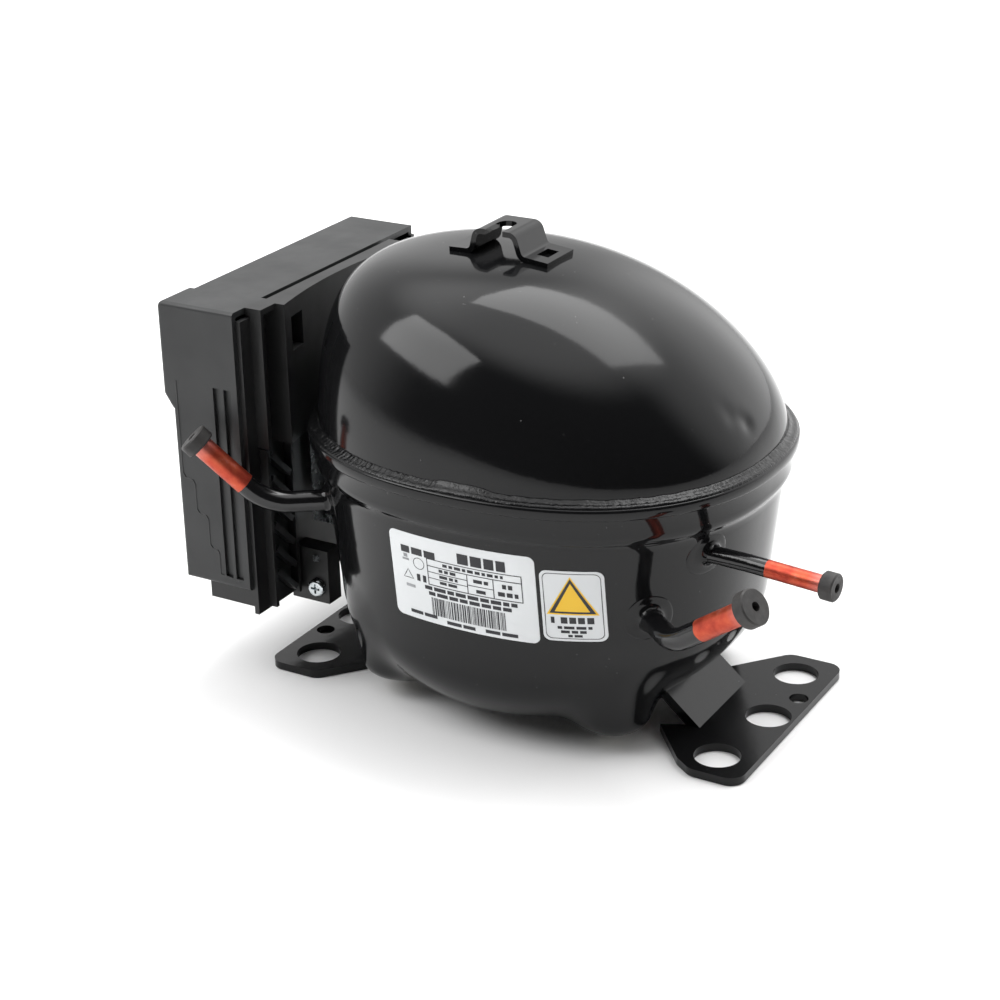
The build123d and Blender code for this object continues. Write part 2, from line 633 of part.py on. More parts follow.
with BuildPart() as oil_pickup:
    with BuildSketch(Plane.XY.offset(PICKUP_BOTTOM)) as tube_wall:
        Circle(PICKUP_OD / 2)
        Circle(PICKUP_OD / 2 - 0.8, mode=Mode.SUBTRACT)
    extrude(tube_wall.sketch, amount=SHAFT_BOTTOM + 14 - PICKUP_BOTTOM)
save(oil_pickup, "oil_pickup")

with BuildPart() as thrust_bearing:
    with BuildSketch(Plane.XY.offset(PLATE_TOP)) as washer:
        Circle(12.4)
        Circle(SHAFT / 2 + 0.6, mode=Mode.SUBTRACT)
    extrude(washer.sketch, amount=THRUST_TOP - PLATE_TOP - FIT)
save(thrust_bearing, "thrust_bearing")

# ---- slide block, crosshead tube and piston -----------------------------
YOKE_OUTER = 12.0
YOKE_INNER = 9.0
YOKE_HALF = 21.0
SLIDER_HALF = 9.0
CROWN_OFFSET = 44.0
SKIRT = 24.0
yoke_plane = Plane(origin=(CRANK_RADIUS, 0, CYLINDER_Z), x_dir=(1, 0, 0), z_dir=(0, 1, 0))
with BuildPart() as slide_block:
    with BuildSketch(yoke_plane.offset(-SLIDER_HALF)) as round_bar:
        Circle(YOKE_INNER - FIT)
    extrude(round_bar.sketch, amount=2 * SLIDER_HALF)
    chamfer(slide_block.edges(), 0.6)
    with BuildSketch(Plane.XY.offset(CYLINDER_Z - 12)) as pin_hole:
        with Locations((CRANK_RADIUS, 0)):
            Circle(CRANK_PIN / 2 + FIT)
    extrude(pin_hole.sketch, amount=24, mode=Mode.SUBTRACT)
save(slide_block, "slide_block")

with BuildPart() as crosshead:
    with BuildSketch(yoke_plane.offset(-YOKE_HALF)) as ring:
        Circle(YOKE_OUTER)
        Circle(YOKE_INNER, mode=Mode.SUBTRACT)
    extrude(ring.sketch, amount=2 * YOKE_HALF)
    with BuildSketch(Plane.XY.offset(CYLINDER_Z - 14)) as pin_slot:
        with Locations((CRANK_RADIUS, 0)):
            SlotOverall(2 * (CRANK_RADIUS + CRANK_PIN / 2 + 0.6), CRANK_PIN + 1.2, rotation=90)
    extrude(pin_slot.sketch, amount=12, mode=Mode.SUBTRACT)
save(crosshead, "crosshead")

crown_x = CRANK_RADIUS - CROWN_OFFSET
with BuildPart() as piston:
    with BuildSketch(Plane.YZ.offset(crown_x)) as crown:
        with Locations((0, CYLINDER_Z)):
            Circle(CYLINDER_BORE / 2 - FIT)
    extrude(crown.sketch, amount=SKIRT)
    with BuildSketch(Plane.YZ.offset(crown_x + SKIRT)) as neck:
        with Locations((0, CYLINDER_Z)):
            Circle(7.5)
    extrude(neck.sketch, amount=CROWN_OFFSET - SKIRT)
    with BuildSketch(yoke_plane.offset(-YOKE_HALF)) as saddle:
        Circle(YOKE_OUTER)
    extrude(saddle.sketch, amount=2 * YOKE_HALF, mode=Mode.SUBTRACT)
    with BuildSketch(Plane.YZ.offset(crown_x + SKIRT)) as relief:
        with Locations((0, CYLINDER_Z)):
            Circle(10.5)
            Circle(7.5, mode=Mode.SUBTRACT)
    extrude(relief.sketch, amount=-(SKIRT - 4), mode=Mode.SUBTRACT)
save(piston, "piston")

# ---- valve stack and cylinder head --------------------------------------
GASKET = 0.4
REED = 0.3
VALVE_PLATE = 3.0
HEAD_GASKET = 0.6
HEAD_DEPTH = 12.0
BOLT_SPREAD_Y = 31.0
BOLT_SPREAD_Z = 25.0
HEAD_BOLT = 5.0
SUCTION_PORT_Z = CYLINDER_Z - 6
DISCHARGE_PORT_Z = CYLINDER_Z + 6
reed_face = BLOCK_FACE_X - GASKET
plate_face = reed_face - REED
plate_back = plate_face - VALVE_PLATE
head_face = plate_back - HEAD_GASKET


def stack_sheet(face_x, thickness, opening):
    """A sheet of the valve stack with its four bolt holes and an opening."""
    with BuildPart() as sheet:
        with BuildSketch(Plane.YZ.offset(face_x)) as outline:
            with Locations((0, CYLINDER_Z)):
                RectangleRounded(2 * BLOCK_HALF_Y, 2 * BLOCK_HALF_Z, 4)
                with GridLocations(BOLT_SPREAD_Y, BOLT_SPREAD_Z, 2, 2):
                    Circle(HEAD_BOLT / 2, mode=Mode.SUBTRACT)
                if opening > 0:
                    Circle(opening, mode=Mode.SUBTRACT)
        extrude(outline.sketch, amount=-thickness)
    return sheet.part


with BuildPart() as cylinder_gasket:
    add(stack_sheet(BLOCK_FACE_X, GASKET, CYLINDER_BORE / 2 + 0.5))
save(cylinder_gasket, "cylinder_gasket")

with BuildPart() as suction_reed:
    add(stack_sheet(reed_face, REED, 0.0))
    with BuildSketch(Plane.YZ.offset(reed_face)) as leaf_cut:
        with Locations((0, CYLINDER_Z)):
            Circle(CYLINDER_BORE / 2)
        with Locations((0, CYLINDER_Z + 2)):
            Rectangle(7, 27, mode=Mode.SUBTRACT)
        with Locations((0, SUCTION_PORT_Z)):
            Circle(5.2, mode=Mode.SUBTRACT)
    extrude(leaf_cut.sketch, amount=-REED, mode=Mode.SUBTRACT)
    with BuildSketch(Plane.YZ.offset(reed_face)) as discharge_way:
        with Locations((0, DISCHARGE_PORT_Z)):
            Circle(2.6)
    extrude(discharge_way.sketch, amount=-REED, mode=Mode.SUBTRACT)
save(suction_reed, "suction_reed")

with BuildPart() as valve_plate:
    add(stack_sheet(plate_face, VALVE_PLATE, 0.0))
    with BuildSketch(Plane.YZ.offset(plate_face)) as ports:
        with Locations((0, SUCTION_PORT_Z)):
            Circle(3.6)
        with Locations((0, DISCHARGE_PORT_Z)):
            Circle(2.6)
    extrude(ports.sketch, amount=-VALVE_PLATE, mode=Mode.SUBTRACT)
save(valve_plate, "valve_plate")

LEAF_HALF = 9.0
LEAF_ROOT_Y = -9.0
LIFT = 1.3
with BuildPart() as discharge_reed:
    with BuildSketch(Plane.YZ.offset(plate_back)) as leaf:
        with Locations((0.5, DISCHARGE_PORT_Z)):
            SlotOverall(2 * LEAF_HALF, 7)
    extrude(leaf.sketch, amount=-REED)
save(discharge_reed, "discharge_reed")

stop_face = plate_back - REED - 0.05
with BuildPart() as reed_stop:
    with BuildSketch(Plane.XY.offset(DISCHARGE_PORT_Z - 3)) as side:
        with BuildLine():
            Polyline(
                (stop_face, LEAF_ROOT_Y), (stop_face - LIFT, 9), (stop_face - LIFT - 1, 9),
                (stop_face - 1.2, LEAF_ROOT_Y), close=True,
            )
        make_face()
    extrude(side.sketch, amount=6)
save(reed_stop, "reed_stop")

with BuildPart() as head_gasket:
    add(stack_sheet(plate_back, HEAD_GASKET, 0.0))
    with BuildSketch(Plane.YZ.offset(plate_back)) as chambers:
        with Locations((0, CYLINDER_Z + 5.5)):
            RectangleRounded(24, 13, 2)
        with Locations((0, SUCTION_PORT_Z - 2)):
            RectangleRounded(12, 9, 2)
    extrude(chambers.sketch, amount=-HEAD_GASKET, mode=Mode.SUBTRACT)
save(head_gasket, "head_gasket")

with BuildPart() as cylinder_head:
    add(stack_sheet(head_face, HEAD_DEPTH, 0.0))
    fillet(cylinder_head.edges().group_by(Axis.X)[0].filter_by(GeomType.CIRCLE, reverse=True), 1.5)
    with BuildSketch(Plane.YZ.offset(head_face)) as discharge_chamber:
        with Locations((0, CYLINDER_Z + 5.5)):
            RectangleRounded(24, 13, 2)
    extrude(discharge_chamber.sketch, amount=-8, mode=Mode.SUBTRACT)
    with BuildSketch(Plane.YZ.offset(head_face)) as suction_chamber:
        with Locations((0, SUCTION_PORT_Z - 2)):
            RectangleRounded(12, 9, 2)
    extrude(suction_chamber.sketch, amount=-8, mode=Mode.SUBTRACT)
    with BuildSketch(Plane.XZ) as suction_inlet:
        with Locations((head_face - 5, SUCTION_PORT_Z - 2)):
            Circle(2.6)
    extrude(suction_inlet.sketch, amount=-BLOCK_HALF_Y - 2, mode=Mode.SUBTRACT)
save(cylinder_head, "cylinder_head")

with BuildPart() as head_bolts:
    with BuildSketch(Plane.YZ.offset(head_face - HEAD_DEPTH)) as shanks:
        with Locations((0, CYLINDER_Z)):
            with GridLocations(BOLT_SPREAD_Y, BOLT_SPREAD_Z, 2, 2):
                Circle(HEAD_BOLT / 2)
    extrude(shanks.sketch, amount=HEAD_DEPTH + BLOCK_FACE_X - head_face + 14)
    with BuildSketch(Plane.YZ.offset(head_face - HEAD_DEPTH)) as heads:
        with Locations((0, CYLINDER_Z)):
            with GridLocations(BOLT_SPREAD_Y, BOLT_SPREAD_Z, 2, 2):
                RegularPolygon(4.2, 6)
    extrude(heads.sketch, amount=-3.5)
save(head_bolts, "head_bolts")

# ---- suction muffler, discharge muffler and shock loop ------------------
SUCTION_MUFFLER_X = -24.0
SUCTION_MUFFLER_Y = 32.5
NECK_Z = SUCTION_PORT_Z - 2
inlet_x = head_face - 5
neck_route = [
    (SUCTION_MUFFLER_X - 10, SUCTION_MUFFLER_Y, NECK_Z),
    (inlet_x, SUCTION_MUFFLER_Y, NECK_Z),
    (inlet_x, BLOCK_HALF_Y, NECK_Z),
]
with BuildPart() as suction_muffler:
    with BuildSketch(Plane.XY.offset(PLATE_TOP)) as can:
        with Locations((SUCTION_MUFFLER_X, SUCTION_MUFFLER_Y)):
            RectangleRounded(24, 18, 5)
    extrude(can.sketch, amount=24)
    fillet(suction_muffler.edges().group_by(Axis.Z)[-1], 3)
    add(tube_along(neck_route, 5.0, 7.0))
    with BuildSketch(Plane.XY.offset(PLATE_TOP)) as room:
        with Locations((SUCTION_MUFFLER_X, SUCTION_MUFFLER_Y)):
            RectangleRounded(20, 14, 3)
    extrude(room.sketch, amount=20, mode=Mode.SUBTRACT)
    add(tube_along(neck_route, 5.0, 4.6), mode=Mode.SUBTRACT)
save(suction_muffler, "suction_muffler")

loop_z = PLATE_TOP + 6
with BuildPart() as shock_loop:
    add(tube_along(
        [
            (MUFFLER_X + 11, MUFFLER_Y, loop_z), (60, MUFFLER_Y, loop_z), (60, 16, loop_z),
            (60, 16, loop_z - 16), (64, -31.5, loop_z - 16), (64, -31.5, 79), (72, -31.5, 79),
        ],
        5.0, 4.0, 2.6,
    ))
save(shock_loop, "shock_loop")

# ---- motor leads and inner connector ------------------------------------
with BuildPart() as motor_connector:
    with BuildSketch(Plane.YZ.offset(-78.5)) as body:
        with Locations((0, TERMINAL_Z)):
            RectangleRounded(24, 22, 4)
            with PolarLocations(PIN_CIRCLE, 3, 90):
                Circle(PIN_RADIUS, mode=Mode.SUBTRACT)
    extrude(body.sketch, amount=8)
save(motor_connector, "motor_connector")

LEAD_OD = 2.4
with BuildPart() as motor_leads:
    for y in (-6, 0, 6):
        add(tube_along([(-70.5, y, TERMINAL_Z), (-60, y, TERMINAL_Z), (-60, y, 89), (-47, y, 89)], 4.0, LEAD_OD))
save(motor_leads, "motor_leads")

# ---- inverter base ------------------------------------------------------
BASE_BOTTOM = 27.0
BASE_FRONT_Y = -58.0
BASE_REAR_Y = 58.0
PANEL = 2.0
SADDLE_X = -90.6            # deepest line of the hollow that faces the dome
SADDLE_RADIUS = 200.0
SADDLE_EDGE_X = -85.0
SADDLE_BOTTOM = 93.0
SADDLE_HALF_Y = 43.0
GROOVE_START_Y = -40.0
GROOVE_DEPTH = 3.5
LOUVRE_COUNT = 6
LOUVRE_PITCH = 9.5
LOUVRE_ANGLE = -45.0
LOUVRE_LENGTH = 16.0
LOUVRE_THICKNESS = 2.2
RAIL_SPREAD = 15.0
RAIL_THICKNESS = 1.6
BOSS_DEPTH = 8.0
LOUVRE_Y = -43.0
LOUVRE_FACE_X = -91.5
BAY_FRONT_Y = -52.0         # front of the open bay beside the saddle
BAY_FACE_X = -90.0
BAY_RIB = 1.2
BOSS_X = -85.0
BOSS_Z = 30.3
BOSS_BOTTOM = 24.0
BOSS_HEIGHT = 22.0
BOSS_FACE_Y = -33.0
SCREW_HOLE = 3.2
BOARD_X = -104.0
BOARD_THICK = 1.6
BOARD_Y = 2.0
BOARD_Z = 92.0
BOARD_HALF_Y = 54.0
BOARD_HALF_Z = 48.0
saddle_middle = (BOX_X + SADDLE_EDGE_X) / 2
saddle_depth = SADDLE_EDGE_X - BOX_X
with BuildPart() as inverter_base:
    with BuildSketch(Plane.YZ.offset(BOX_X)) as panel:
        with Locations(((BASE_FRONT_Y + BASE_REAR_Y) / 2, (BOX_TOP - GROOVE_DEPTH + BASE_BOTTOM) / 2)):
            Rectangle(BASE_REAR_Y - BASE_FRONT_Y, BOX_TOP - GROOVE_DEPTH - BASE_BOTTOM)
        with Locations((0, TERMINAL_Z)):
            RectangleRounded(26, 24, 3, mode=Mode.SUBTRACT)
    extrude(panel.sketch, amount=PANEL)
    with BuildSketch(Plane.XY.offset(SADDLE_BOTTOM)) as saddle:
        with Locations((saddle_middle, 0)):
            Rectangle(saddle_depth, 2 * SADDLE_HALF_Y)
        with Locations((SADDLE_X + SADDLE_RADIUS, 0)):
            Circle(SADDLE_RADIUS, mode=Mode.SUBTRACT)
    extrude(saddle.sketch, amount=BOX_TOP - SADDLE_BOTTOM)
    with BuildSketch(Plane.XY.offset(BOX_TOP - GROOVE_DEPTH)) as groove:
        with Locations((BOX_X, (GROOVE_START_Y + SADDLE_HALF_Y) / 2)):
            Rectangle(2.4, SADDLE_HALF_Y - GROOVE_START_Y)
    extrude(groove.sketch, amount=GROOVE_DEPTH, mode=Mode.SUBTRACT)
    with BuildSketch(Plane.YZ.offset(SADDLE_X - 3)) as saddle_window:
        with Locations((-33, 134)):
            Rectangle(9, 13)
    extrude(saddle_window.sketch, amount=12, mode=Mode.SUBTRACT)
    bay_width = BAY_FACE_X - BOX_X
    with BuildSketch(Plane.XY.offset(SADDLE_BOTTOM)) as bay_rib:
        with Locations(((BOX_X + BAY_FACE_X) / 2, BAY_FRONT_Y + BAY_RIB / 2)):
            Rectangle(bay_width, BAY_RIB)
    extrude(bay_rib.sketch, amount=BOX_TOP - SADDLE_BOTTOM)
    with BuildSketch(Plane.XY.offset(BOX_TOP - PLASTIC)) as bay_roof:
        with Locations(((BOX_X + BAY_FACE_X) / 2, (BAY_FRONT_Y - SADDLE_HALF_Y) / 2)):
            Rectangle(bay_width, -SADDLE_HALF_Y - BAY_FRONT_Y)
    extrude(bay_roof.sketch, amount=PLASTIC)
    with BuildSketch(Plane.YZ.offset(BOX_X)) as louvres:
        with Locations((LOUVRE_Y, BASE_BOTTOM + LOUVRE_PITCH * (LOUVRE_COUNT + 1) / 2)):
            with GridLocations(0, LOUVRE_PITCH, 1, LOUVRE_COUNT):
                Rectangle(LOUVRE_LENGTH, LOUVRE_THICKNESS, rotation=LOUVRE_ANGLE)
    extrude(louvres.sketch, amount=LOUVRE_FACE_X - BOX_X)
    with BuildSketch(Plane.YZ.offset(BOX_X)) as rails:
        with Locations((LOUVRE_Y, (BASE_BOTTOM + SADDLE_BOTTOM) / 2)):
            with GridLocations(RAIL_SPREAD, 0, 2, 1):
                Rectangle(RAIL_THICKNESS, SADDLE_BOTTOM - BASE_BOTTOM - 2)
    extrude(rails.sketch, amount=LOUVRE_FACE_X - BOX_X)
    boss_length = BOSS_X + 5 - BOX_X
    with BuildSketch(Plane.XY.offset(BOSS_BOTTOM)) as boss:
        with Locations((BOX_X + boss_length / 2, BOSS_FACE_Y + BOSS_DEPTH / 2)):
            Rectangle(boss_length, BOSS_DEPTH)
    extrude(boss.sketch, amount=BOSS_HEIGHT)
    with BuildSketch(Plane.XZ.offset(-BOSS_FACE_Y)) as screw_way:
        with Locations((BOSS_X, BOSS_Z)):
            Circle(SCREW_HOLE / 2)
    extrude(screw_way.sketch, amount=-BOSS_DEPTH, mode=Mode.SUBTRACT)
    with BuildSketch(Plane.XY.offset(BASE_BOTTOM + 3)) as skirt_blocks:
        with Locations((BOX_X - 10, BASE_FRONT_Y + 5), (BOX_X - 10, BASE_REAR_Y - 5)):
            Rectangle(20, 10)
    extrude(skirt_blocks.sketch, amount=COVER_BOTTOM - BASE_BOTTOM - 3)
    with BuildSketch(Plane.YZ.offset(BOARD_X + BOARD_THICK)) as posts:
        with Locations((BOARD_Y, BOARD_Z)):
            with GridLocations(2 * BOARD_HALF_Y - 10, 2 * BOARD_HALF_Z - 10, 2, 2):
                Circle(3)
    extrude(posts.sketch, amount=BOX_X - BOARD_X - BOARD_THICK)
save(inverter_base, "inverter_base")

SCREW_HEAD = 3.6
SCREW_HEAD_HEIGHT = 2.2
with BuildPart() as base_screw:
    with BuildSketch(Plane.XZ.offset(-BOSS_FACE_Y)) as head:
        with Locations((BOSS_X, BOSS_Z)):
            Circle(SCREW_HEAD)
    extrude(head.sketch, amount=SCREW_HEAD_HEIGHT)
    fillet(base_screw.edges().group_by(Axis.Y)[0], 1.0)
    with BuildSketch(Plane.XZ.offset(-BOSS_FACE_Y + SCREW_HEAD_HEIGHT)) as recess:
        with Locations((BOSS_X, BOSS_Z)):
            Rectangle(4.0, 0.9)
            Rectangle(0.9, 4.0)
    extrude(recess.sketch, amount=-1.2, mode=Mode.SUBTRACT)
    with BuildSketch(Plane.XZ.offset(-BOSS_FACE_Y)) as shank:
        with Locations((BOSS_X, BOSS_Z)):
            Circle(SCREW_HOLE / 2)
    extrude(shank.sketch, amount=-BOSS_DEPTH)
save(base_screw, "base_screw")

TAB_Z = 42.6
with BuildPart() as earth_tab:
    with BuildSketch(Plane.XZ.offset(-BOSS_FACE_Y)) as blade:
        with Locations((BOSS_X, TAB_Z)):
            Rectangle(2.2, 2.6)
    extrude(blade.sketch, amount=0.8)
save(earth_tab, "earth_tab")

# ---- inverter cover -----------------------------------------------------
CAP_X = -131.0
CAP_REAR_Y = -42.0
CAP_BOTTOM = 105.0
CAP_SLOPE = 6.0
CAP_ROUND = 2.5
EDGE_ROUND = 1.6
SLOT_X = -103.8
SLOT_SPREAD = 4.8
SLOT_WIDTH = 3.3
SLOT_DEPTH = 1.2
SLOT_BOTTOM = 41.0
SLOT_TOP = 117.0
with BuildPart() as inverter_cover:
    with BuildSketch(Plane.YZ.offset(COVER_X)) as footprint:
        with Locations(((COVER_FRONT_Y + COVER_REAR_Y) / 2, (COVER_BOTTOM + BOX_TOP) / 2)):
            Rectangle(COVER_REAR_Y - COVER_FRONT_Y, BOX_TOP - COVER_BOTTOM)
    extrude(footprint.sketch, amount=BOX_X - COVER_X)
    with BuildSketch(Plane.XZ.offset(-COVER_FRONT_Y)) as cap:
        with BuildLine():
            FilletPolyline(
                (BOX_X, BOX_TOP), (CAP_X, BOX_TOP), (CAP_X, CAP_BOTTOM + CAP_SLOPE),
                (COVER_X, CAP_BOTTOM), (BOX_X, CAP_BOTTOM), radius=CAP_ROUND, close=True,
            )
        make_face()
    extrude(cap.sketch, amount=COVER_FRONT_Y - CAP_REAR_Y)
    front_edges = inverter_cover.faces().sort_by(Axis.Y)[0].edges()
    fillet(front_edges.filter_by_position(Axis.X, CAP_X - 1, BOX_X - 1), EDGE_ROUND)
    cavity_length = COVER_REAR_Y - COVER_FRONT_Y - 2 * PLASTIC
    with BuildSketch(Plane.YZ.offset(BOX_X)) as cavity:
        with Locations(((COVER_FRONT_Y + COVER_REAR_Y) / 2, (COVER_BOTTOM + BOX_TOP) / 2)):
            Rectangle(cavity_length, BOX_TOP - COVER_BOTTOM - 2 * PLASTIC)
    extrude(cavity.sketch, amount=COVER_X + PLASTIC - BOX_X, mode=Mode.SUBTRACT)
    with BuildSketch(Plane.XZ.offset(-COVER_FRONT_Y)) as slots:
        with Locations((SLOT_X, (SLOT_BOTTOM + SLOT_TOP) / 2)):
            with GridLocations(SLOT_SPREAD, 0, 2, 1):
                Rectangle(SLOT_WIDTH, SLOT_TOP - SLOT_BOTTOM)
    extrude(slots.sketch, amount=-SLOT_DEPTH, mode=Mode.SUBTRACT)
    with BuildSketch(Plane.XY.offset(BOX_TOP - GROOVE_DEPTH)) as top_gap:
        with Locations((BOX_X, (GROOVE_START_Y + COVER_REAR_Y) / 2)):
            Rectangle(2.4, COVER_REAR_Y - GROOVE_START_Y)
    extrude(top_gap.sketch, amount=GROOVE_DEPTH, mode=Mode.SUBTRACT)
save(inverter_cover, "inverter_cover")

# ---- inverter electronics -----------------------------------------------
with BuildPart() as inverter_board:
    with BuildSketch(Plane.YZ.offset(BOARD_X)) as sheet:
        with Locations((BOARD_Y, BOARD_Z)):
            Rectangle(2 * BOARD_HALF_Y, 2 * BOARD_HALF_Z)
    extrude(sheet.sketch, amount=BOARD_THICK)
save(inverter_board, "inverter_board")

with BuildPart() as bus_capacitors:
    with BuildSketch(Plane.YZ.offset(BOARD_X)) as cans:
        with Locations((24, 124), (44, 124)):
            Circle(9)
    extrude(cans.sketch, amount=-18)
    fillet(bus_capacitors.edges().group_by(Axis.X)[0], 1.2)
save(bus_capacitors, "bus_capacitors")

with BuildPart() as filter_choke:
    with BuildSketch(Plane.YZ.offset(BOARD_X)) as core:
        with Locations((-22, 122)):
            Circle(12)
            Circle(5, mode=Mode.SUBTRACT)
    extrude(core.sketch, amount=-12)
save(filter_choke, "filter_choke")

with BuildPart() as power_module:
    with BuildSketch(Plane.YZ.offset(BOARD_X)) as body:
        with Locations((-8, 84)):
            Rectangle(38, 20)
    extrude(body.sketch, amount=-5)
save(power_module, "power_module")

with BuildPart() as heat_sink:
    with BuildSketch(Plane.YZ.offset(BOARD_X - 5)) as plate:
        with Locations((-8, 84)):
            Rectangle(50, 30)
    extrude(plate.sketch, amount=-3)
    with BuildSketch(Plane.YZ.offset(BOARD_X - 8)) as fins:
        with Locations((-8, 84)):
            with GridLocations(6, 1, 8, 1):
                Rectangle(1.6, 30)
    extrude(fins.sketch, amount=-10)
save(heat_sink, "heat_sink")

with BuildPart() as film_capacitors:
    with BuildSketch(Plane.YZ.offset(BOARD_X)) as boxes:
        with Locations((38, 96), (38, 84)):
            Rectangle(18, 8)
    extrude(boxes.sketch, amount=-14)
save(film_capacitors, "film_capacitors")

with BuildPart() as power_connector:
    with BuildSketch(Plane.YZ.offset(BOARD_X)) as shroud:
        with Locations((36, 56)):
            Rectangle(26, 12)
            Rectangle(22, 8, mode=Mode.SUBTRACT)
    extrude(shroud.sketch, amount=-12)
    with BuildSketch(Plane.YZ.offset(BOARD_X)) as floor:
        with Locations((36, 56)):
            Rectangle(26, 12)
    extrude(floor.sketch, amount=-2)
save(power_connector, "power_connector")

with BuildPart() as motor_header:
    with BuildSketch(Plane.YZ.offset(BOARD_X + BOARD_THICK)) as shroud:
        with Locations((0, TERMINAL_Z)):
            RectangleRounded(24, 22, 3)
            with PolarLocations(PIN_CIRCLE, 3, 90):
                Circle(PIN_RADIUS, mode=Mode.SUBTRACT)
    extrude(shroud.sketch, amount=12)
save(motor_header, "motor_header")
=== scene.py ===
import math
import random

import bpy
import numpy as np
from mathutils import Matrix, Vector, noise
from mathutils.bvhtree import BVHTree


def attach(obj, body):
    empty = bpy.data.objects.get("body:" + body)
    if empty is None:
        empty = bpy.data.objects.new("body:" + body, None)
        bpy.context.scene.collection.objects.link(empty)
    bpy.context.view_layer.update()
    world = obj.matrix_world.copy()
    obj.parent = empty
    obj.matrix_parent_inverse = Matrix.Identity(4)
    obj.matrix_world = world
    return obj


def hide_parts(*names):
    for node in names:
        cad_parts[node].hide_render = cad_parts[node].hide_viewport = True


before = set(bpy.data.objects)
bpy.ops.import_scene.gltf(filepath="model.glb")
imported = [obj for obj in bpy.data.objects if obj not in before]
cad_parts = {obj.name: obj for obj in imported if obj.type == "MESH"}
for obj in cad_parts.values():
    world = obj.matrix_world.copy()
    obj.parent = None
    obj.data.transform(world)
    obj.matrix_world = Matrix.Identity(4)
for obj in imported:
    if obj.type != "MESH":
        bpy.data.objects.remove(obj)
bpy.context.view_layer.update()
MM = 0.001
rng = random.Random(7)

# The plan outline, the dome and the bowl's walls repeat the part's own formulas, in millimetres.
PLAN_X, PLAN_Y, PLAN_POWER = 90.0, 77.9, 2.26
SEAM_Z = 103.0
RIM_INSET = 4.0
DOME_HEIGHT = 63.3
APEX = (-22.9, -3.1)

# Each tube leaves the shell at its start, bends at its turn and is open at its end: points, then its radius.
TUBES = {
    "suction": ((58.0, -42.5, 58.0), (79.5, -61.0, 58.0), (107.8, -66.0, 78.5), 4.0),
    "discharge": ((72.0, -31.5, 79.0), (93.0, -31.9, 78.6), (122.0, -34.3, 77.8), 3.175),
    "process": ((-61.0, -43.5, 76.0), (-86.0, -61.0, 76.0), (-106.0, -71.0, 98.5), 4.0),
}


# ---- camera -------------------------------------------------------------
CAMERA_PITCH, CAMERA_ROLL, CAMERA_YAW = 23.39, -1.21, 120.49
CAMERA_PLACE = (0.3740, -0.6735, 0.4045)
LENS, SENSOR = 81.36, 36
FARTHEST = 50


def add_camera():
    """The main view, from a fitted lens, place in metres and turn in degrees."""
    pitch, roll, yaw = (math.radians(turn) for turn in (CAMERA_PITCH, CAMERA_ROLL, CAMERA_YAW))
    ahead = Vector((math.cos(yaw), math.sin(yaw), 0))
    side = Vector((math.sin(yaw), -math.cos(yaw), 0))
    zenith = Vector((0, 0, 1))
    forward = ahead * math.cos(pitch) - zenith * math.sin(pitch)
    up = zenith * math.cos(pitch) + ahead * math.sin(pitch)
    right = side * math.cos(roll) + up * math.sin(roll)
    top = up * math.cos(roll) - side * math.sin(roll)
    data = bpy.data.cameras.new("camera")
    data.lens = LENS
    data.sensor_width = SENSOR
    data.clip_end = FARTHEST
    cam = bpy.data.objects.new("camera", data)
    bpy.context.scene.collection.objects.link(cam)
    basis = Matrix((right, top, -forward)).transposed().to_4x4()
    cam.matrix_world = Matrix.Translation(CAMERA_PLACE) @ basis
    bpy.context.scene.camera = cam


# ---- material kit -------------------------------------------------------
# Most of a noise texture's values lie between these two.
NOISE_LOW, NOISE_HIGH = 0.3, 0.7


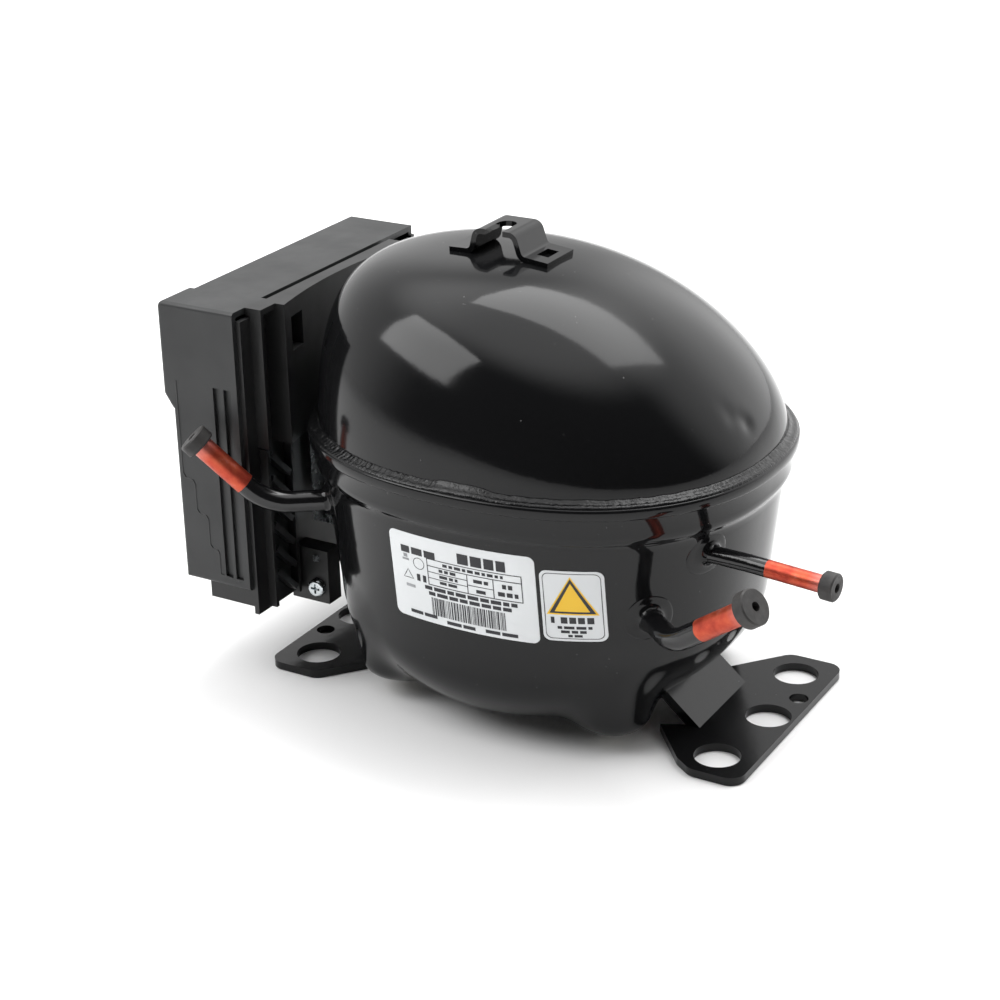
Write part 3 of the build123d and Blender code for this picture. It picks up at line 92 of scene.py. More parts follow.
class Kit:
    """A small wrapper for building one Principled material."""

    def __init__(self, name):
        self.mat = bpy.data.materials.new(name)
        self.mat.use_nodes = True
        self.tree = self.mat.node_tree
        self.bsdf = self.tree.nodes["Principled BSDF"]
        self.coords = self.node("ShaderNodeTexCoord").outputs["Object"]

    def node(self, kind, **values):
        made = self.tree.nodes.new(kind)
        for key, value in values.items():
            setattr(made, key, value)
        return made

    def link(self, a, b):
        self.tree.links.new(a, b)

    def set(self, **values):
        names = {"rough": "Roughness", "metal": "Metallic", "spec": "Specular IOR Level"}
        for key, value in values.items():
            self.bsdf.inputs[names[key]].default_value = value

    def noise(self, scale, detail, rough=0.5, stretch=None):
        tex = self.node("ShaderNodeTexNoise")
        tex.inputs["Scale"].default_value = scale
        tex.inputs["Detail"].default_value = detail
        tex.inputs["Roughness"].default_value = rough
        source = self.coords
        if stretch:
            mapping = self.node("ShaderNodeMapping")
            mapping.inputs["Scale"].default_value = stretch
            self.link(source, mapping.inputs["Vector"])
            source = mapping.outputs["Vector"]
        self.link(source, tex.inputs["Vector"])
        return tex.outputs["Fac"]

    def ramp(self, fac, stops):
        node = self.node("ShaderNodeValToRGB")
        while len(node.color_ramp.elements) < len(stops):
            node.color_ramp.elements.new(0.5)
        for element, (place, colour) in zip(node.color_ramp.elements, stops):
            element.position = place
            element.color = (*colour, 1)
        self.link(fac, node.inputs["Fac"])
        return node.outputs["Color"]

    def remap(self, fac, low, high, to_low, to_high):
        node = self.node("ShaderNodeMapRange")
        node.inputs["From Min"].default_value = low
        node.inputs["From Max"].default_value = high
        node.inputs["To Min"].default_value = to_low
        node.inputs["To Max"].default_value = to_high
        self.link(fac, node.inputs["Value"])
        return node.outputs["Result"]

    def mix(self, fac, a, b):
        node = self.node("ShaderNodeMix", data_type="RGBA")
        self.link(fac, node.inputs[0])
        for value, socket in ((a, node.inputs[6]), (b, node.inputs[7])):
            if isinstance(value, tuple):
                socket.default_value = (*value, 1)
            else:
                self.link(value, socket)
        return node.outputs[2]

    def math(self, kind, a, b):
        node = self.node("ShaderNodeMath", operation=kind)
        for value, socket in ((a, node.inputs[0]), (b, node.inputs[1])):
            if isinstance(value, (int, float)):
                socket.default_value = value
            else:
                self.link(value, socket)
        return node.outputs[0]

    def colour(self, source):
        self.link(source, self.bsdf.inputs["Base Color"])

    def mottle(self, fac, dark, light):
        """A base colour that drifts between two tones."""
        self.colour(self.ramp(fac, [(NOISE_LOW, dark), (NOISE_HIGH, light)]))

    def rough(self, source):
        self.link(source, self.bsdf.inputs["Roughness"])

    def drift(self, fac, low, high):
        """A value that drifts between two levels."""
        return self.remap(fac, NOISE_LOW, NOISE_HIGH, low, high)

    def bump(self, height, strength, distance, normal=None):
        node = self.node("ShaderNodeBump")
        node.inputs["Strength"].default_value = strength
        node.inputs["Distance"].default_value = distance
        self.link(height, node.inputs["Height"])
        if normal is not None:
            self.link(normal, node.inputs["Normal"])
        self.link(node.outputs["Normal"], self.bsdf.inputs["Normal"])
        return node.outputs["Normal"]


def shades(colour, spread):
    """A darker and a lighter neighbour of one colour."""
    darker = tuple(c * (1 - spread) for c in colour)
    lighter = tuple(min(1.0, c * (1 + spread)) for c in colour)
    return darker, lighter


ENAMEL_BLACK, DUST_GREY = (0.0055, 0.0056, 0.006), (0.12, 0.12, 0.12)
ENAMEL_SPECULAR = 0.27


def enamel(name, rough_low=0.06, rough_high=0.14, peel=0.05, grit=0.0):
    """Gloss black stove enamel: orange peel, soft cloudiness and dust."""
    kit = Kit(name)
    specks = [(0.0, ENAMEL_BLACK), (0.80, ENAMEL_BLACK), (0.83, DUST_GREY)]
    kit.colour(kit.ramp(kit.noise(900, 1.0), specks))
    kit.rough(kit.drift(kit.noise(16, 4.0), rough_low, rough_high))
    kit.set(spec=ENAMEL_SPECULAR)
    first = kit.bump(kit.noise(190, 2.0), peel, 0.0004)
    if grit > 0:
        kit.bump(kit.noise(800, 4.0), grit, 0.0008, first)
    return kit.mat


def plastic(name, colour, rough=0.42, grain=0.12, spread=0.25):
    """Moulded plastic with a fine spark-eroded grain."""
    kit = Kit(name)
    kit.mottle(kit.noise(28, 5.0), *shades(colour, spread))
    kit.rough(kit.drift(kit.noise(60, 3.0), rough - 0.06, rough + 0.08))
    kit.bump(kit.noise(1500, 3.0), grain, 0.0003)
    return kit.mat


def metal(name, colour, rough=0.3, brushed=(1, 1, 1), scale=300, bump=0.06, spread=0.15, metallic=1.0):
    """Bare metal with streaks along one way and some tone variation."""
    kit = Kit(name)
    grain = kit.noise(scale, 4.0, stretch=brushed)
    kit.mottle(kit.noise(40, 4.0), *shades(colour, spread))
    kit.rough(kit.drift(grain, max(0.05, rough - 0.1), rough + 0.12))
    kit.set(metal=metallic)
    kit.bump(grain, bump, 0.0004)
    return kit.mat


def rubber(name):
    """Matt black rubber with worn, paler spots."""
    kit = Kit(name)
    kit.colour(kit.ramp(kit.noise(120, 5.0), [(0.3, (0.017, 0.016, 0.016)), (0.75, (0.04, 0.037, 0.035))]))
    kit.rough(kit.drift(kit.noise(300, 4.0), 0.5, 0.75))
    kit.bump(kit.noise(900, 4.0), 0.25, 0.0004)
    return kit.mat


def film(name, colour):
    """Printed label stock: satin film, slightly uneven."""
    kit = Kit(name)
    kit.mottle(kit.noise(45, 4.0), tuple(c * 0.93 for c in colour), colour)
    kit.rough(kit.drift(kit.noise(80, 3.0), 0.3, 0.42))
    kit.bump(kit.noise(70, 2.0), 0.18, 0.0012)
    return kit.mat


COPPER_TINTS = [
    (0.25, (0.26, 0.028, 0.018)), (0.45, (0.44, 0.06, 0.032)),
    (0.6, (0.52, 0.095, 0.045)), (0.75, (0.58, 0.18, 0.15)),
]
PALE_COPPER, TUBE_BLACK = (0.6, 0.32, 0.3), (0.006, 0.006, 0.0065)
# Lengths behind a tube's open end, in millimetres, and how far the paint's edge wanders, in metres.
BARE_LENGTH, PALE_LENGTH, EDGE_WANDER = 20.5, 5, 0.0012
PALE_SHARE, COPPER_METALLIC, PAINT_ROUGH = 0.35, 0.75, 0.12


def bare_copper(name):
    """Heat-tinted copper all over."""
    kit = Kit(name)
    kit.colour(kit.ramp(kit.noise(150, 5.0, 0.6), COPPER_TINTS))
    kit.set(metal=1.0)
    kit.rough(kit.drift(kit.noise(200, 3.0), 0.25, 0.45))
    kit.bump(kit.noise(500, 3.0), 0.1, 0.0003)
    return kit.mat


def copper_tube(name, end, direction):
    """Bare heat-tinted copper at the open end, black enamel behind it."""
    kit = Kit(name)
    copper = kit.ramp(kit.noise(150, 5.0, 0.6), COPPER_TINTS)
    dot = kit.node("ShaderNodeVectorMath", operation="DOT_PRODUCT")
    kit.link(kit.coords, dot.inputs[0])
    dot.inputs[1].default_value = direction
    at_end = end.dot(direction)
    wobble = kit.math("MULTIPLY", kit.noise(260, 2.0), EDGE_WANDER)
    along = kit.math("ADD", dot.outputs["Value"], wobble)
    mask = kit.math("GREATER_THAN", along, at_end - BARE_LENGTH * MM)
    near_plug = kit.remap(dot.outputs["Value"], at_end - PALE_LENGTH * MM, at_end, 0.0, PALE_SHARE)
    paler = kit.mix(near_plug, copper, PALE_COPPER)
    kit.colour(kit.mix(mask, TUBE_BLACK, paler))
    kit.link(kit.math("MULTIPLY", mask, COPPER_METALLIC), kit.bsdf.inputs["Metallic"])
    shine = kit.drift(kit.noise(200, 3.0), 0.3, 0.48)
    on_copper = kit.math("MULTIPLY", mask, shine)
    on_paint = kit.math("MULTIPLY", kit.math("SUBTRACT", 1.0, mask), PAINT_ROUGH)
    kit.rough(kit.math("ADD", on_copper, on_paint))
    kit.bump(kit.noise(420, 4.0), 0.12, 0.0004)
    return kit.mat


# ---- mesh kit -----------------------------------------------------------
OUTLINE_STEPS = 4000


def mesh_object(name, verts, faces, mat, body="housing", slot=None, smooth=True):
    """A mesh that rides a body, in the given material; the slot argument is not used."""
    data = bpy.data.meshes.new(name)
    data.from_pydata([tuple(v) for v in verts], [], faces)
    data.materials.append(mat)
    for polygon in data.polygons:
        polygon.use_smooth = smooth
    data.update()
    obj = bpy.data.objects.new(name, data)
    bpy.context.scene.collection.objects.link(obj)
    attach(obj, body)
    return obj


def oval(angle, half_x, half_y, power, centre=(0.0, 0.0)):
    """A point of a superellipse."""
    across, along = math.cos(angle), math.sin(angle)
    x = half_x * math.copysign(abs(across) ** (2 / power), across)
    y = half_y * math.copysign(abs(along) ** (2 / power), along)
    return centre[0] + x, centre[1] + y


def outline(angle, inset):
    """A point of the plan outline, drawn in by an inset."""
    return oval(angle, PLAN_X - inset, PLAN_Y - inset, PLAN_POWER)


def even_angles(count):
    """Angles that space points evenly along the plan outline, and its length."""
    fine = [2 * math.pi * i / OUTLINE_STEPS for i in range(OUTLINE_STEPS + 1)]
    points = [Vector(outline(a, 0.0)) for a in fine]
    run = [0.0]
    for a, b in zip(points, points[1:]):
        run.append(run[-1] + (b - a).length)
    angles = []
    k = 0
    for i in range(count):
        target = run[-1] * i / count
        while run[k + 1] < target:
            k += 1
        part = (target - run[k]) / (run[k + 1] - run[k])
        angles.append(fine[k] + part * (fine[k + 1] - fine[k]))
    return angles, run[-1]


def loft_rings(rings, close_end=False):
    """Faces between rings of equal length, with the last ring filled if asked."""
    count = len(rings[0])
    verts = [v for ring in rings for v in ring]
    faces = []
    for r in range(len(rings) - 1):
        for i in range(count):
            j = (i + 1) % count
            faces.append((r * count + i, r * count + j, (r + 1) * count + j, (r + 1) * count + i))
    if close_end:
        faces.append(tuple((len(rings) - 1) * count + i for i in range(count)))
    return verts, faces


def in_metres(rings):
    return [[Vector(v) * MM for v in ring] for ring in rings]


def surface_of(node):
    """A ray target made of one CAD node's mesh."""
    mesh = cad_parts[node].data
    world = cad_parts[node].matrix_world
    verts = [world @ v.co for v in mesh.vertices]
    return BVHTree.FromPolygons(verts, [tuple(p.vertices) for p in mesh.polygons])


# ---- dome ---------------------------------------------------------------
DOME_POINTS, DOME_STEPS, DOME_SPREAD = 360, 96, 1.15
DOME_LAST = 89.97
SKIRT_DROPS = (9.0, 4.0)
WIDTH_POWER, HEIGHT_POWER, TOP_POWER = 0.623, 1.198, 2.0
# Each dent runs between two points, and has a reach and a depth.
DENTS = [
    (Vector((77.5, -17.0, 133.0)), Vector((80.5, -14.0, 124.0)), 3.4, 1.0),
    (Vector((82.0, -9.0, 122.0)), Vector((82.5, -7.0, 119.0)), 3.0, 1.1),
]
DENT_AIM = Vector((-10, 0, 108))


def dome_point(angle, degrees):
    """A point of the dome, by its angle in plan and its angle of climb."""
    rise = math.sin(math.radians(degrees))
    width = math.cos(math.radians(degrees)) ** WIDTH_POWER
    power = PLAN_POWER + (TOP_POWER - PLAN_POWER) * rise ** 2
    centre = (APEX[0] * rise ** 2, APEX[1] * rise ** 2)
    x, y = oval(angle, (PLAN_X - RIM_INSET) * width, (PLAN_Y - RIM_INSET) * width, power, centre)
    return Vector((x, y, SEAM_Z + DOME_HEIGHT * rise ** HEIGHT_POWER))


def near_segment(p, a, b):
    """How far a point is from the stretch between two others."""
    along = b - a
    t = max(0.0, min(1.0, (p - a).dot(along) / along.length_squared))
    return (p - (a + along * t)).length


def dented(p):
    """A point of the dome pushed in by the dents."""
    inward = (DENT_AIM - p).normalized()
    depth = 0.0
    for a, b, size, amount in DENTS:
        depth += amount * math.exp(-(near_segment(p, a, b) / size) ** 2)
    return p + inward * depth


def build_dome(mat):
    """The upper shell as one skin, from its skirt inside the seam to its top."""
    angles = even_angles(DOME_POINTS)[0]
    rings = [[(*outline(a, RIM_INSET), SEAM_Z - drop) for a in angles] for drop in SKIRT_DROPS]
    for k in range(DOME_STEPS):
        degrees = 90 * (k / DOME_STEPS) ** DOME_SPREAD
        rings.append([dented(dome_point(a, degrees)) for a in angles])
    rings.append([dome_point(a, DOME_LAST) for a in angles])
    verts, faces = loft_rings(in_metres(rings), close_end=True)
    dome = mesh_object("dome_skin", verts, faces, mat, slot="shell_enamel")
    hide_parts("upper_shell")


# ---- bowl ---------------------------------------------------------------
BELT_BOTTOM, BOWL_BOTTOM, BOWL_RADIUS = 88.0, 13.0, 33.0
BOWL_INSET_TOP, BOWL_INSET_BOTTOM = 4.6, 13.0
# How much lower and how much tighter the bowl's bottom edge is toward +Y and -Y.
FLANK_DROP, FLANK_TIGHTEN = 8.0, 9.0
LOBE_X, LOBE_Y, LOBE_RADIUS = 46.0, 39.0, 13.0
LOBE_BOTTOM, LOBE_TOP, LOBE_EDGE, LOBE_BLEND = 7.0, 45.0, 6.5, 11.0
# Inset and height of the lip, belt and shoulder, from the inner edge of the lip down.
LIP_PROFILE = [
    (4.6, 103.0), (0.9, 103.0), (0.3, 102.8), (0.0, 102.3),
    (0.0, 99.4), (0.3, 98.9), (0.9, 98.7), (1.8, 98.6), (2.0, 98.2),
    (2.0, 92.0), (2.1, 90.6), (2.5, 89.4), (3.2, 88.4), (4.0, 87.4), (4.6, 86.0), (4.9, 84.0),
]
WALL_HEIGHTS = (80.0, 76.0, 72.0, 68.0, 64.0)
BOWL_POINTS, BOWL_RINGS = 400, 90
# Rays go out and down from a point inside the bowl, and step back until they meet its surface.
EYE_Z, EYE_INSET, FIRST_REACH = 62.0, 7, 120.0
RAY_STEPS, RAY_SHARE = 90, 0.8


def bowl_inset(z):
    """How far the bowl's wall stands inside the seam outline at a height."""
    share = (BELT_BOTTOM - z) / (BELT_BOTTOM - BOWL_BOTTOM)
    return BOWL_INSET_TOP + share * (BOWL_INSET_BOTTOM - BOWL_INSET_TOP)


def rounded(side, below, radius):
    """Signed distance to a shape with a rounded corner, from two distances to its faces."""
    corner = np.hypot(np.maximum(side, 0), np.maximum(below, 0))
    return corner + np.minimum(np.maximum(side, below), 0) - radius


def bowl_distance(x, y, z):
    """Signed distance to the bowl with its four lobes blended in."""
    angle = np.arctan2(y, x)
    half_x, half_y = PLAN_X - bowl_inset(z), PLAN_Y - bowl_inset(z)
    across = np.abs(np.cos(angle)) / half_x
    along = np.abs(np.sin(angle)) / half_y
    reach = (across ** PLAN_POWER + along ** PLAN_POWER) ** (-1 / PLAN_POWER)
    flank = np.sin(angle) ** 2
    radius = BOWL_RADIUS - FLANK_TIGHTEN * flank
    side = np.hypot(x, y) - (reach - radius)
    below = BOWL_BOTTOM - FLANK_DROP * flank + radius - z
    body = rounded(side, below, radius)
    out = np.hypot(np.abs(x) - LOBE_X, np.abs(y) - LOBE_Y) - (LOBE_RADIUS - LOBE_EDGE)
    ends = np.maximum(LOBE_BOTTOM + LOBE_EDGE - z, z - LOBE_TOP + LOBE_EDGE)
    column = rounded(out, ends, LOBE_EDGE)
    share = np.clip(0.5 + 0.5 * (column - body) / LOBE_BLEND, 0, 1)
    return column * (1 - share) + body * share - LOBE_BLEND * share * (1 - share)


def along_ray(heading, drop, reach):
    """Points at a reach from the eye, by their headings and one angle below level."""
    level = reach * math.cos(drop)
    return level * np.cos(heading), level * np.sin(heading), EYE_Z - reach * math.sin(drop)


def build_bowl(mat):
    """The lower shell as one pressed skin: lip, belt, shoulder, bowl and lobes."""
    angles = even_angles(BOWL_POINTS)[0]
    profile = LIP_PROFILE + [(bowl_inset(z), z) for z in WALL_HEIGHTS]
    rings = [[(*outline(a, inset), z) for a in angles] for inset, z in profile]
    heading = np.array([math.atan2(*reversed(outline(a, EYE_INSET))) for a in angles])
    for step in range(BOWL_RINGS):
        drop = math.radians(step)
        reach = np.full(len(angles), FIRST_REACH)
        for _ in range(RAY_STEPS):
            reach = reach - RAY_SHARE * bowl_distance(*along_ray(heading, drop, reach))
        rings.append([(float(x), float(y), float(z)) for x, y, z in zip(*along_ray(heading, drop, reach))])
    verts, faces = loft_rings(in_metres(rings), close_end=True)
    outward_faces = [tuple(reversed(face)) for face in faces]
    bowl = mesh_object("bowl_skin", verts, outward_faces, mat, slot="shell_enamel")
    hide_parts("lower_shell")


# ---- weld and tube collars ----------------------------------------------
# Inset and rise of the bead's section, from its outer foot to its inner edge.
BEAD_PROFILE = [
    (0.5, -0.2), (0.65, 0.35), (1.1, 0.8), (1.8, 1.0), (2.4, 1.1),
    (3.0, 1.5), (3.7, 2.1), (4.3, 2.3), (4.7, 1.8),
]
BEAD_POINTS = 1500
# In front, the bead is crumbly to the left of one X, and has a lump about another.
CRUMBLY_TO_X, CRUMBLY, SMOOTHER = -4, 1.0, 0.12
LUMP_X, LUMP_HALF, LUMP_RISE = 6, 11, 0.55
RIPPLE_PITCH = 3.1
# How much a collar grows beyond its tube, and how far it stands off the shell.
COLLAR_PROFILE = [
    (0.05, 2.6), (0.35, 1.7), (0.95, 0.95), (1.9, 0.45), (3.0, 0.28), (4.2, 0.22), (4.8, 0.05), (5.0, -0.3),
]
COLLAR_POINTS, COLLAR_UNEVEN = 72, 0.12
CLEAR_OF_SHELL = 0.03


def bead_ring(angle, run):
    """One section of the bead, at a length along the seam."""
    seam_x, seam_y = outline(angle, 0.0)
    crumbly = CRUMBLY if seam_y < 0 and seam_x < CRUMBLY_TO_X else SMOOTHER
    lump = math.exp(-((seam_x - LUMP_X) / LUMP_HALF) ** 6) if seam_y < 0 else 0.0
    coarse = noise.noise(Vector((run * 0.22, 3.1, 0.7)))
    fine = noise.noise(Vector((run * 0.9, 8.2, 1.7)))
    ripple = math.sin(run * 2 * math.pi / RIPPLE_PITCH + 4 * coarse)
    swell = 1.0 + 0.10 * coarse + LUMP_RISE * lump
    ring = []
    for k, (inset, rise) in enumerate(BEAD_PROFILE):
        inner = k / (len(BEAD_PROFILE) - 1)
        local = noise.noise(Vector((run * 1.3, k * 0.8, 5.0)))
        lift = rise * swell + 0.30 * crumbly * inner * (0.12 * ripple + 1.3 * fine + 1.9 * local)
        ring.append(Vector((*outline(angle, inset), SEAM_Z + lift)) * MM)
    return ring


def build_weld(mat):
    """The seam bead: rippled and gritty, with a start and stop lump in front."""
    angles, length = even_angles(BEAD_POINTS)
    rings = [bead_ring(a, length * i / BEAD_POINTS) for i, a in enumerate(angles)]
    count = len(BEAD_PROFILE)
    verts = [v for ring in rings for v in ring]
    faces = []
    for i in range(len(rings)):
        j = (i + 1) % len(rings)
        for k in range(count - 1):
            faces.append((i * count + k, j * count + k, j * count + k + 1, i * count + k + 1))
    bead = mesh_object("weld_bead", verts, faces, mat, slot="weld_bead")
    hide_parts("seam_weld")


def build_tube_collars(mat):
    """Pressed pads and brazing fillets where the tubes leave the shell."""
    wall = surface_of("lower_shell")
    for name, (start, turn, _, radius) in TUBES.items():
        start, turn = Vector(start) * MM, Vector(turn) * MM
        outward = (turn - start).normalized()
        across = outward.cross(Vector((0, 0, 1))).normalized()
        upward = across.cross(outward)
        rings = []
        for grow, rise in COLLAR_PROFILE:
            ring = []
            for i in range(COLLAR_POINTS):
                a = 2 * math.pi * i / COLLAR_POINTS
                uneven = COLLAR_UNEVEN * noise.noise(Vector((math.cos(a), math.sin(a), grow)))
                reach = radius + grow * (1 + uneven)
                offset = (across * math.cos(a) + upward * math.sin(a)) * reach * MM
                hit = wall.ray_cast(turn + offset + outward * CLEAR_OF_SHELL, -outward)[0]
                if hit is None:
                    hit = start + offset
                ring.append(hit + outward * rise * MM)
            rings.append(ring)
        verts, faces = loft_rings(rings)
        mesh_object(f"{name}_tube_collar", verts, faces, mat, slot="shell_enamel")


# ---- labels -------------------------------------------------------------
# The print's height over the film, in millimetres, and where rays and searches for the film start, in metres.
PRINT_LIFT = 0.06
RAY_Y, SEARCH_Y = -0.15, -0.08
CORNER_STEPS = 5

# Places on a label are shares of its width, then of its height from the top.
FIGURES_LEFT = ((0.085, 0.150), (0.165, 0.245), (0.26, 0.34))
FIGURES_RIGHT = ((0.50, 0.575), (0.59, 0.665), (0.68, 0.745), (0.76, 0.82))
TABLE_LEFT, TABLE_SPLIT, TABLE_THIRD, TABLE_RIGHT = 0.275, 0.555, 0.73, 0.915
TABLE_TOP, TABLE_SECOND, TABLE_BOTTOM = 0.235, 0.315, 0.545
RULE_WIDTH = 0.006
# Each line of word bars: left, right, top, bottom and the size of a word.
TABLE_WORDS = [(0.39, 0.80, 0.262, 0.296, 0.035)]
TABLE_WORDS += [(0.36, 0.49, v, v + 0.034, 0.04) for v in (0.335, 0.405, 0.475)]
TABLE_WORDS += [
    (0.60, 0.70, 0.36, 0.40, 0.05), (0.615, 0.68, 0.475, 0.515, 0.04), (0.79, 0.855, 0.36, 0.41, 0.04),
    (0.76, 0.89, 0.45, 0.50, 0.05), (0.245, 0.91, 0.562, 0.606, 0.06), (0.27, 0.84, 0.625, 0.668, 0.06),
]
FOOT_WORDS = [
    (0.115, 0.315, 0.90, 0.94, 0.08), (0.385, 0.585, 0.93, 0.97, 0.08), (0.655, 0.885, 0.925, 0.965, 0.08),
]
STRIPES_LEFT, STRIPES_RIGHT, STRIPES_TOP, STRIPES_BOTTOM = 0.285, 0.80, 0.69, 0.90
FAINT_BARS = [(0.09, 0.14, 0.30, 0.325), (0.10, 0.17, 0.60, 0.635), (0.10, 0.13, 0.25, 0.29)]
HAZARD_WORDS = [
    (0.24, 0.78, 0.785, 0.825, 0.11), (0.29, 0.73, 0.845, 0.885, 0.10), (0.40, 0.64, 0.905, 0.94, 0.10),
]
HAZARD_BAR_LEFTS, HAZARD_BAR_WIDTH = (0.30, 0.435, 0.57, 0.71), 0.105
HAZARD_BAR_TOP, HAZARD_BAR_BOTTOM = 0.655, 0.745
# Each layer of the hazard triangle: name, top, foot, half width and lift.
TRIANGLE_MIDDLE = 0.49
TRIANGLES = [
    ("hazard_triangle_edge", 0.075, 0.62, 0.41, 0.05),
    ("hazard_triangle_line", 0.105, 0.60, 0.365, 0.08),
    ("hazard_triangle_field", 0.17, 0.572, 0.275, 0.11),
]


class Label:
    """Prints flat shapes on a curved CAD label, in label fractions."""

    def __init__(self, node, left, right, bottom, top):
        self.target = surface_of(node)
        self.left, self.top = left, top
        self.wide, self.tall = right - left, top - bottom

    def place(self, u, v, lift=PRINT_LIFT):
        x = (self.left + self.wide * u) * MM
        z = (self.top - self.tall * v) * MM
        hit = self.target.ray_cast(Vector((x, RAY_Y, z)), Vector((0, 1, 0)))[0]
        if hit is None:
            hit = self.target.find_nearest(Vector((x, SEARCH_Y, z)))[0]
        return hit + Vector((0, -lift * MM, 0))

    def band(self, low, high, left, right, columns, rows, lift=PRINT_LIFT):
        """A filled shape between two edges that are functions of v."""
        verts, faces = [], []
        for r in range(rows + 1):
            v = low + (high - low) * r / rows
            a, b = left(v), right(v)
            for c in range(columns + 1):
                verts.append(self.place(a + (b - a) * c / columns, v, lift))
        for r in range(rows):
            for c in range(columns):
                k = r * (columns + 1) + c
                faces.append((k, k + 1, k + columns + 2, k + columns + 1))
        return verts, faces

    def bar(self, u0, u1, v0, v1):
        """A filled rectangle, cut about every 2 mm to follow the curve."""
        columns = max(1, round(self.wide * (u1 - u0) / 2))
        rows = max(1, round(self.tall * (v1 - v0) / 2))
        return self.band(v0, v1, lambda v: u0, lambda v: u1, columns, rows)

    def outline(self, points, width, steps=8):
        """A closed line of a given width, in millimetres, through corner points."""
        wide, tall = self.wide, self.tall
        corners = [Vector((u * wide, v * tall)) for u, v in points]
        middle_u = sum(p[0] for p in points) / len(points)
        middle_v = sum(p[1] for p in points) / len(points)
        middle = Vector((middle_u * wide, middle_v * tall))
        outer = []
        for a, b in zip(corners, corners[1:] + corners[:1]):
            outer += [a.lerp(b, k / steps) for k in range(steps)]
        verts, faces = [], []
        for p in outer:
            q = p + (middle - p).normalized() * width
            verts.append(self.place(p.x / wide, p.y / tall))
            verts.append(self.place(q.x / wide, q.y / tall))
        n = len(outer)
        for i in range(n):
            j = (i + 1) % n
            faces.append((2 * i, 2 * j, 2 * j + 1, 2 * i + 1))
        return verts, faces

    def triangle(self, top_v, low_v, half, lift):
        """A filled triangle that stands on its base."""
        def left(v):
            return TRIANGLE_MIDDLE - half * (v - top_v) / (low_v - top_v)

        def right(v):
            return TRIANGLE_MIDDLE + half * (v - top_v) / (low_v - top_v)

        return self.band(top_v, low_v, left, right, 8, 12, lift)


def joined(parts):
    """Many small meshes as one."""
    verts, faces = [], []
    for v, f in parts:
        base = len(verts)
        verts.extend(v)
        faces.extend(tuple(base + k for k in face) for face in f)
    return verts, faces


def words(label, u0, u1, v0, v1, size, gap=0.012):
    """A line of plain bars the size of words, with no lettering."""
    parts = []
    u = u0
    while u < u1 - size * 0.4:
        width = min(size * rng.uniform(0.6, 1.6), u1 - u)
        parts.append(label.bar(u, u + width, v0, v1))
        u += width + gap
    return parts


def rounded_corners(u0, u1, v0, v1, ru, rv):
    """Corner points of a rectangle with round corners."""
    points = []
    left, right, top, bottom = u0 + ru, u1 - ru, v0 + rv, v1 - rv
    for cu, cv, start in ((right, top, -90), (right, bottom, 0), (left, bottom, 90), (left, top, 180)):
        for k in range(CORNER_STEPS + 1):
            a = math.radians(start + 90 * k / CORNER_STEPS)
            points.append((cu + ru * math.cos(a), cv + rv * math.sin(a)))
    return points


def table_rules(label):
    """The ruled lines of the rating table."""
    parts = []
    for v in (TABLE_TOP, TABLE_SECOND):
        parts.append(label.bar(TABLE_LEFT, TABLE_RIGHT, v, v + 0.009))
    for v in (0.385, 0.455):
        parts.append(label.bar(TABLE_LEFT, TABLE_SPLIT, v, v + 0.008))
    parts.append(label.bar(TABLE_SPLIT, TABLE_THIRD, 0.435, 0.443))
    parts.append(label.bar(TABLE_LEFT, TABLE_RIGHT, 0.535, TABLE_BOTTOM))
    for u in (TABLE_LEFT, TABLE_SPLIT, TABLE_THIRD, 0.912):
        top = TABLE_SECOND if u in (TABLE_SPLIT, TABLE_THIRD) else TABLE_TOP
        parts.append(label.bar(u, u + RULE_WIDTH, top, TABLE_BOTTOM))
    return parts


def stripes(label):
    """Upright stripes of chance widths, which encode nothing."""
    parts = []
    u = STRIPES_LEFT
    while u < STRIPES_RIGHT:
        width = rng.choice((0.0035, 0.0035, 0.006, 0.010))
        parts.append(label.bar(u, u + width, STRIPES_TOP, STRIPES_BOTTOM))
        u += width + rng.choice((0.0035, 0.005, 0.0075))
    return parts


def plain_marks(label):
    """A ring, a small triangle and two bars in place of approval marks."""
    turns = [2 * math.pi * k / 24 for k in range(24)]
    ring = [(0.213 + 0.042 * math.cos(a), 0.33 + 0.068 * math.sin(a)) for a in turns]
    return [
        label.outline(ring, 0.25, steps=1),
        label.outline([(0.125, 0.42), (0.165, 0.53), (0.085, 0.53)], 0.3),
        label.bar(0.19, 0.215, 0.455, 0.535),
        label.bar(0.235, 0.26, 0.455, 0.535),
    ]


def print_rating(ink, grey_ink, slot):
    label = Label("rating_label", -26.5, 31.0, 48.0, 82.6)
    parts = [label.bar(left, right, 0.155, 0.235) for left, right in FIGURES_LEFT]
    parts += [label.bar(left, right, 0.095, 0.215) for left, right in FIGURES_RIGHT]
    parts += table_rules(label)
    for line in TABLE_WORDS:
        parts += words(label, *line)
    parts += stripes(label)
    for line in FOOT_WORDS:
        parts += words(label, *line)
    parts += plain_marks(label)
    mesh_object("rating_label_print", *joined(parts), ink, slot=slot, smooth=False)
    faint = [label.bar(*place) for place in FAINT_BARS]
    mesh_object("rating_label_faint_print", *joined(faint), grey_ink, slot=slot, smooth=False)


